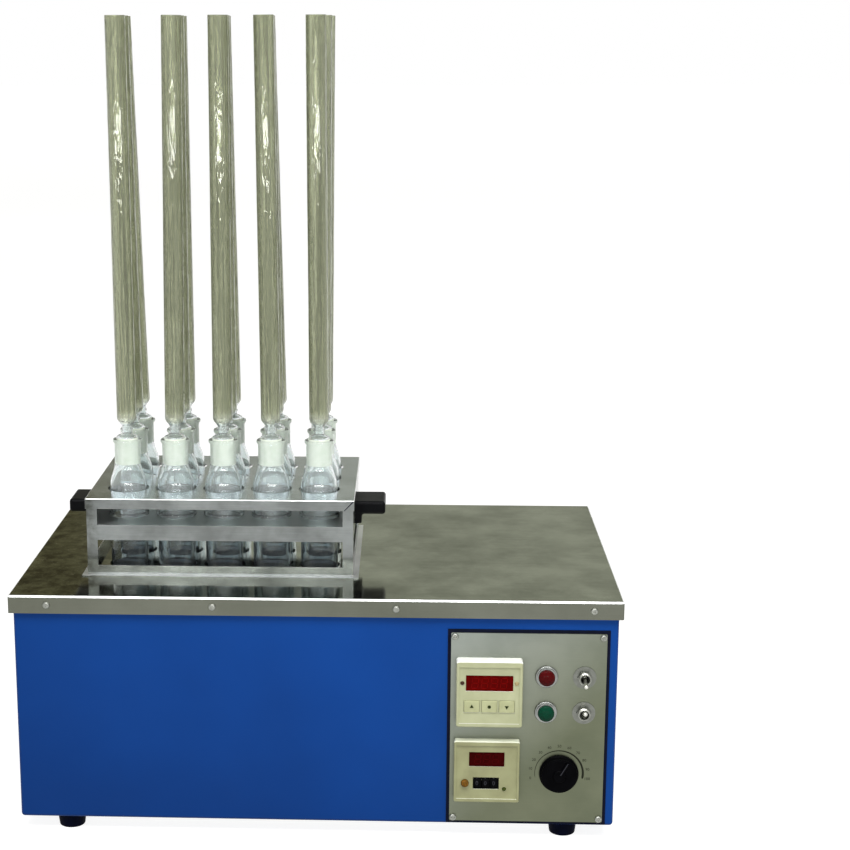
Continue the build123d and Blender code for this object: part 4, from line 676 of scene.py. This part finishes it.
# Profiles are (radius, height, rounding), from the panel outwards.
LENS_PROFILE = [(0, 0, 0), (8.8, 0, 0.3), (8.8, 6, 1.4), (6.2, 8.0, 2.2), (3.2, 9.2, 1.6), (0, 9.5, 0)]
KNOB_PROFILE = [(0, 0, 0), (21.3, 0, 0.3), (21.3, 2.5, 0.8), (19.6, 3.5, 0.3), (19.4, 8, 1.2), (17.6, 8, 0.3)]
INDICATOR_PROFILE = [(0, -1.3, 0), (2.2, -1.3, 0.1), (2.2, 0.7, 0.69), (0, 0.7, 0)]
CORNER_STEPS = 6
LENS_SEAT, LENS_FLUTES, LENS_FLUTE_SHARE = 2.0, 12, 0.012
KNOB_GAP, KNOB_HEIGHT, RIDGE = 0.5, 8.0, 2.0
RIDGE_HALF_WIDTH, RIDGE_REACH, HUB_R = 2.1, 18.4, 7.4
KNOB_FLUTES, KNOB_FLUTE_SHARE = 36, 0.014
SHAFT_AROUND = 32
ARC_R, ARC_STEPS, ARC_FROM_DEG, ARC_TO_DEG = 26.0, 90, 192, -14
NUMBER_COUNT, NUMBER_SIZE, NUMBER_R, NUMBER_FIRST_DEG, NUMBER_STEP_DEG = 11, 4.4, 31.2, 191, 20.2


def lens_grid(x, z):
    """A pilot lens: cylinder wall running into a shallow dome, with twelve faint flutes round the wall."""
    outline, _ = softened(LENS_PROFILE, CORNER_STEPS)

    def flutes(turn, height):
        groove = 0.5 + 0.5 * np.cos(LENS_FLUTES * turn)
        return 1 - LENS_FLUTE_SHARE * groove * np.clip((8 - height) / 4, 0, 1)

    return front_turned(outline, x, z, PANEL_FACE - LENS_SEAT, 6 * LENS_FLUTES, flutes)


ringed_piece("red_lens_cap", [lens_grid(LENS_X, RED_LENS_Z)], ruby_lens, "base", ["red_lens"])
ringed_piece("green_lens_cap", [lens_grid(LENS_X, GREEN_LENS_Z)], green_lens, "base", ["green_lens"])


def knob_grid():
    """Regulator knob: skirt, fluted body and flat face, with a rounded ridge from its middle to its edge.

    The ridge falls off with the fourth power of the distance from the pointer's line, and meets a hub."""
    outline, _ = softened(KNOB_PROFILE, CORNER_STEPS)
    rings = np.linspace(17.2, 0, 36)
    face = np.stack([rings, np.full_like(rings, KNOB_HEIGHT)], -1)
    profile = np.concatenate([outline, face])

    def flutes(turn, height):
        groove = (0.5 - 0.5 * np.cos(KNOB_FLUTES * turn)) ** 2
        low_end = np.clip((height - 3.6) / 0.6, 0, 1)
        high_end = np.clip((7.9 - height) / 0.8, 0, 1)
        return 1 - KNOB_FLUTE_SHARE * groove * low_end * high_end

    grid = front_turned(profile, *KNOB_CENTRE, PANEL_FACE - KNOB_GAP, 6 * KNOB_FLUTES, flutes)
    u, v = grid[..., 0] - KNOB_CENTRE[0], grid[..., 2] - KNOB_CENTRE[1]
    along = u * math.cos(KNOB_AIM) + v * math.sin(KNOB_AIM)
    across = -u * math.sin(KNOB_AIM) + v * math.cos(KNOB_AIM)
    ends = np.clip((along + 1) / 2, 0, 1) * np.clip(RIDGE_REACH - along, 0, 1)
    bar = np.clip(1.5 - (across / RIDGE_HALF_WIDTH) ** 4, 0, 1) * ends
    hub = np.clip((HUB_R - np.hypot(u, v)) / 1.2, 0, 1)
    on_face = np.arange(len(profile))[:, None] >= len(outline)
    grid[..., 1] -= RIDGE * np.maximum(bar, hub) * on_face
    return grid


def shaft_grid():
    """The knob's shaft: a closed cylinder from just inside the knob to behind the panel."""
    radius, front, back = 3.0, 0.2, -15.5
    outline = np.array([(0, front), (radius, front), (radius, back), (0, back)], float)
    return front_turned(outline, *KNOB_CENTRE, PANEL_FACE, SHAFT_AROUND)


def pointer_grid():
    """A narrow grey plate along the top of the knob's ridge, turned to the knob's aim and sunk a little into
    it: a painted highlight.
    """
    start_at, end_at, half_width, thick, sunk = 2, 17.8, 0.45, 0.12, 0.02
    plate = [(start_at, -half_width), (end_at, -half_width), (end_at, half_width), (start_at, half_width)]
    cosine, sine = math.cos(KNOB_AIM), math.sin(KNOB_AIM)
    turned = np.array(plate) @ np.array([[cosine, sine], [-sine, cosine]])
    return slab(turned, *KNOB_CENTRE, PANEL_FACE - KNOB_GAP - KNOB_HEIGHT - RIDGE + sunk, thick)


def dial_arc():
    """Printed crescent round the knob: its middle radius is constant, its width grows from left to right."""
    turn = np.radians(np.linspace(ARC_FROM_DEG, ARC_TO_DEG, ARC_STEPS))
    share = np.linspace(0, 1, ARC_STEPS)
    ends = np.clip(np.minimum(share, 1 - share) / 0.02, 0.02, 1)
    width = (0.5 + 2.0 * share ** 1.5) * ends
    columns = []
    for side, lift in ((-0.5, INK_THICK), (0.5, INK_THICK), (0.5, 0.0), (-0.5, 0.0)):
        r = ARC_R + side * width
        lifts = np.full(ARC_STEPS, lift)
        columns.append(on_front(r * np.cos(turn), r * np.sin(turn), lifts, *KNOB_CENTRE, PANEL_FACE))
    return np.stack(columns, 1)


def dial_number(n):
    """The n-th plain number of the dial, from 0 at the left to 100 at the right, upright on its circle."""
    points, faces = written(str(n * 10), NUMBER_SIZE)
    aim = math.radians(NUMBER_FIRST_DEG - NUMBER_STEP_DEG * n)
    spot = (KNOB_CENTRE[0] + NUMBER_R * math.cos(aim), KNOB_CENTRE[1] + NUMBER_R * math.sin(aim))
    return on_front(points[:, 0], points[:, 1], points[:, 2] + INK_LIFT, *spot, PANEL_FACE), faces


knob_mesh = grid_mesh("regulator_knob_body", [knob_grid(), shaft_grid()], (False, True), None, 50)
piece("regulator_knob_body", knob_mesh, [phenolic], "regulator_knob", ["regulator_knob"])
ringed_piece("knob_ridge_highlight_line", [pointer_grid()], ridge_painted_highlight, "regulator_knob")
ringed_piece("dial_arc", [dial_arc()], dial_ink, "base")
dial_numbers = joined("dial_numbers", [dial_number(n) for n in range(NUMBER_COUNT)])
piece("dial_numbers", dial_numbers, [dial_ink], "base")


# ---- controller and timer details

# Bars of a numeral: the place in half widths and half heights, and whether the bar stands upright.
SEGMENTS = [((0, 1), False), ((0, 0), False), ((0, -1), False),
            ((-0.5, 0.5), True), ((0.5, 0.5), True), ((-0.5, -0.5), True), ((0.5, -0.5), True)]
BAR = np.array([(-0.42, 0), (-0.34, 0.07), (0.34, 0.07), (0.42, 0), (0.34, -0.07), (-0.34, -0.07)])
SLANT, DIGIT_PITCH, BAR_THICK = 0.12, 1.55, 0.05
WINDOW_GAP = 0.01
KEY_PROUD = 1.3
# Key, then the middle, corners, turn in degrees and reach of its mark.
KEY_MARKS = [("key_up", 169.4, 3, 90, 2.6), ("key_set", 188.1, 24, 0, 1.9), ("key_down", 206.8, 3, -90, 2.6)]
MARK_THICK = 0.04
INDICATOR_AROUND = 32
WHEEL_NUMBER_SIZE, WHEEL_NUMBER_SHIFT, WHEEL_STEP_DEG = 6.4, -0.6, 36
THREAD_ROOT, THREAD_WALL, THREAD_RISE, THREAD_PITCH = 5.7, 5.9, 0.28, 0.7
THREAD_FROM, THREAD_TO, THREAD_ROWS, THREAD_AROUND = 3.4, 7.8, 50, 40


def unlit_digits(place, window, count, width, height):
    """Seven-bar numerals: each bar is a long hexagon, on the middle or the half heights of its digit."""
    face = node_box(window)[0][1] - WINDOW_GAP
    grids = []
    for n in range(count):
        middle = place[0] + (n - (count - 1) / 2) * width * DIGIT_PITCH
        for (du, dv), upright in SEGMENTS:
            shape = BAR[:, ::-1] * height / 2 if upright else BAR * width
            shape = shape + SLANT * shape[:, 1:2] * np.array([1, 0])
            x = middle + du * width + SLANT * dv * height / 2
            grids.append(slab(shape, x, place[1] + dv * height / 2, face, BAR_THICK))
    return grids


def indicator_grid(x, z, face):
    """A domed indicator lamp: short barrel with a rounded top, standing 0.7 mm proud of the face."""
    outline, _ = softened(INDICATOR_PROFILE, CORNER_STEPS)
    return front_turned(outline, x, z, face, INDICATOR_AROUND)


def key_mark(x, corners, turn_deg, reach, face):
    """The mark on a key: a small plate whose corners stand evenly on a circle of radius reach."""
    angles = np.radians(turn_deg + np.arange(corners) * 360 / corners)
    return slab(np.stack([np.cos(angles), np.sin(angles)], -1) * reach, x, KEY_MARK_Z, face, MARK_THICK)


def wheel_numbers(x, node):
    """The ten numbers of a thumbwheel, each bent round the wheel's rim a tenth of a turn from the last."""
    low, high = node_box(node)
    y, z, radius = (low[1] + high[1]) / 2, (low[2] + high[2]) / 2, (high[2] - low[2]) / 2
    parts = []
    for n in range(10):
        points, faces = written(str(n), WHEEL_NUMBER_SIZE)
        aim = points[:, 1] / radius - math.radians(WHEEL_STEP_DEG * n)
        reach = radius + points[:, 2] + INK_LIFT
        bent = [x + WHEEL_NUMBER_SHIFT + points[:, 0], y - reach * np.cos(aim), z + reach * np.sin(aim)]
        parts.append((np.stack(bent, -1), faces))
    return joined(node + "_numbers", parts)


def bush_thread(z):
    """Thread on a switch bush: ridges one pitch apart, a cosine of the height on the bush's wall."""
    rows = np.linspace(THREAD_FROM, THREAD_TO, THREAD_ROWS)
    ridge = THREAD_WALL + THREAD_RISE * (0.5 + 0.5 * np.cos(2 * np.pi * rows / THREAD_PITCH))
    ends = [(THREAD_ROOT, rows[0])], [(THREAD_ROOT, rows[-1])]
    outline = np.concatenate([ends[0], np.stack([ridge, rows], -1), ends[1]])
    return front_turned(outline, SWITCH_X, z, PANEL_FACE, THREAD_AROUND)


controller_digits = unlit_digits(CONTROLLER_DIGITS_AT, "controller_window", count=4, width=6.6, height=11.5)
timer_digits = unlit_digits(TIMER_DIGITS_AT, "timer_window", count=3, width=6.2, height=10.5)
ringed_piece("controller_digits", controller_digits, red_segment, "base")
ringed_piece("timer_digits", timer_digits, timer_segment, "base")

key_front = node_box("key_up")[0][1]
controller_face = key_front + KEY_PROUD
left_indicator = indicator_grid(INDICATOR_LEFT_X, INDICATOR_Z, controller_face)
right_indicator = indicator_grid(INDICATOR_RIGHT_X, INDICATOR_Z, controller_face)
ringed_piece("indicator_left", [left_indicator], indicator_brown, "base", ["controller_leds"])
ringed_piece("indicator_right", [right_indicator], indicator_beige, "base")

for key, x, corners, turn_deg, reach in KEY_MARKS:
    ringed_piece(key + "_mark", [key_mark(x, corners, turn_deg, reach, key_front)], olive_ink, key)

for node, x in WHEEL_PLACES.items():
    piece(node + "_numbers", wheel_numbers(x, node), [wheel_ink], node)

threads = [bush_thread(z) for z in SWITCH_HEIGHTS]
piece("toggle_threads", grid_mesh("toggle_threads", threads, (True, True), None, 70), [lever_nickel], "base")


# ---- floor, light and camera, in metres

def seen_rays(tree):
    """1 on rays from the camera, off mirrors and through glass, and 0 on all others."""
    rays = put(tree, "LightPath").outputs
    seen = put(tree, "Math", {"operation": "MAXIMUM"}, n_0=rays["Is Camera Ray"], n_1=rays["Is Glossy Ray"])
    return put(tree, "Math", {"operation": "MAXIMUM"}, n_0=seen, n_1=rays["Is Transmission Ray"])


def floor_material(name, colour, strength):
    """Pale floor: matt paper that takes the object's shadow, with a white of its own on seen_rays()."""
    material, tree, _ = start(name)
    matt = put(tree, "BsdfDiffuse", Color=linear(colour))
    share = put(tree, "Math", {"operation": "MULTIPLY"}, n_0=seen_rays(tree), n_1=strength)
    glow = put(tree, "Emission", Color=WHITE, Strength=share)
    put(tree, "OutputMaterial", Surface=put(tree, "AddShader", n_0=matt, n_1=glow))
    return material


def wall_material(name):
    """Far wall that only the steel mirrors: olive grey, brown to the left."""
    material, tree, where = start(name)
    side = put(tree, "SeparateXYZ", n_0=where).outputs["X"]
    place = put(tree, "MapRange", Value=side, From_Min=-3.0, From_Max=3.0)
    brown = [(0.0, linear("#5e5a42")), (0.26, linear("#5f5c46"))]
    olive = [(0.37, linear("#96988c")), (1.0, linear("#94968a"))]
    tone = put(tree, "ValToRGB", {"stops": brown + olive}, n_0=place)
    put(tree, "OutputMaterial", Surface=put(tree, "Emission", Color=tone, Strength=1.0))
    return material


def flat_sheet(name, corners, material):
    """A four-cornered sheet that belongs to the studio."""
    mesh = bpy.data.meshes.new(name)
    mesh.from_pydata(corners, [], [(0, 1, 2, 3)])
    mesh.materials.append(material)
    sheet = bpy.data.objects.new(name, mesh)
    bpy.context.scene.collection.objects.link(sheet)
    return sheet


def lamp(name, place, aim, size, watts):
    """A soft rectangular lamp at place, facing aim, not itself seen by the camera."""
    data = bpy.data.lights.new(name, "AREA")
    data.shape = "RECTANGLE"
    data.size, data.size_y = size
    data.energy = watts
    made = bpy.data.objects.new(name, data)
    bpy.context.scene.collection.objects.link(made)
    made.location = place
    made.rotation_euler = (Vector(aim) - Vector(place)).to_track_quat("-Z", "Y").to_euler()
    made.visible_camera = False


def studio_world():
    """White where it is seen, and a dimmer even light on everything else."""
    world = bpy.data.worlds.new("studio")
    world.use_nodes = True
    tree = world.node_tree
    tree.nodes.clear()
    level = put(tree, "MapRange", Value=seen_rays(tree), To_Min=0.45, To_Max=1.0)
    put(tree, "OutputWorld", Surface=put(tree, "Background", Color=WHITE, Strength=level))
    return world


FLOOR_REACH = 30
floor_corners = [(-FLOOR_REACH, -FLOOR_REACH, 0), (FLOOR_REACH, -FLOOR_REACH, 0),
                 (FLOOR_REACH, FLOOR_REACH, 0), (-FLOOR_REACH, FLOOR_REACH, 0)]
flat_sheet("floor", floor_corners, floor_material("floor_white_paper", "#a3a3a1", 0.86))

WALL_REACH, WALL_Y, WALL_FOOT, WALL_TOP = 9, 6, 1.06, 7
wall_corners = [(-WALL_REACH, WALL_Y, WALL_FOOT), (WALL_REACH, WALL_Y, WALL_FOOT),
                (WALL_REACH, WALL_Y, WALL_TOP), (-WALL_REACH, WALL_Y, WALL_TOP)]
far_wall = flat_sheet("far_wall", wall_corners, wall_material("far_wall_olive_grey"))
far_wall.visible_camera = False
far_wall.visible_transmission = False

lamp("ceiling_lamp", place=(0.25, -1.1, 2.1), aim=(0.1, -0.1, 0.2), size=(2.4, 0.9), watts=52)
lamp("front_fill", place=(0.9, -3.0, 1.2), aim=(0.1, -0.1, 0.3), size=(1.2, 1.2), watts=2)
lamp("strip_light", place=(0.05, -1.9, 0.66), aim=(-0.1, 0.0, 0.70), size=(2.0, 0.09), watts=11)
bpy.context.scene.world = studio_world()

CAMERA_PLACE = (0.09836, COVER_LOW[1] / 1000 - 1.82867, 0.85872)
YAW, PITCH, ROLL = math.radians(2.583), math.radians(-12.318), math.radians(-0.144)
FOCAL_PX, CENTRE_PX, IMAGE_PX = 1795.5, (328.1, 427.6), 850
SENSOR_MM = 36


def camera_turn():
    """Axes of the camera: level axes turned by the yaw, tipped by the pitch, then rolled about its view."""
    yaw_turn = Matrix.Rotation(YAW, 3, "Z")
    ahead = yaw_turn @ Vector((0, math.cos(PITCH), math.sin(PITCH)))
    level = yaw_turn @ Vector((1, 0, 0))
    upright = level.cross(ahead)
    right = math.cos(ROLL) * level + math.sin(ROLL) * upright
    up = -math.sin(ROLL) * level + math.cos(ROLL) * upright
    return Matrix((right, up, -ahead)).transposed().to_4x4()


camera_data = bpy.data.cameras.new("camera")
camera_data.sensor_width = SENSOR_MM
camera_data.lens = FOCAL_PX / IMAGE_PX * SENSOR_MM
camera_data.shift_x = (IMAGE_PX / 2 - CENTRE_PX[0]) / IMAGE_PX
camera_data.shift_y = (CENTRE_PX[1] - IMAGE_PX / 2) / IMAGE_PX
camera_data.clip_end = 100
camera = bpy.data.objects.new("camera", camera_data)
bpy.context.scene.collection.objects.link(camera)
camera.matrix_world = Matrix.Translation(CAMERA_PLACE) @ camera_turn()
bpy.context.scene.camera = camera
bpy.context.scene.view_settings.view_transform = "Standard"
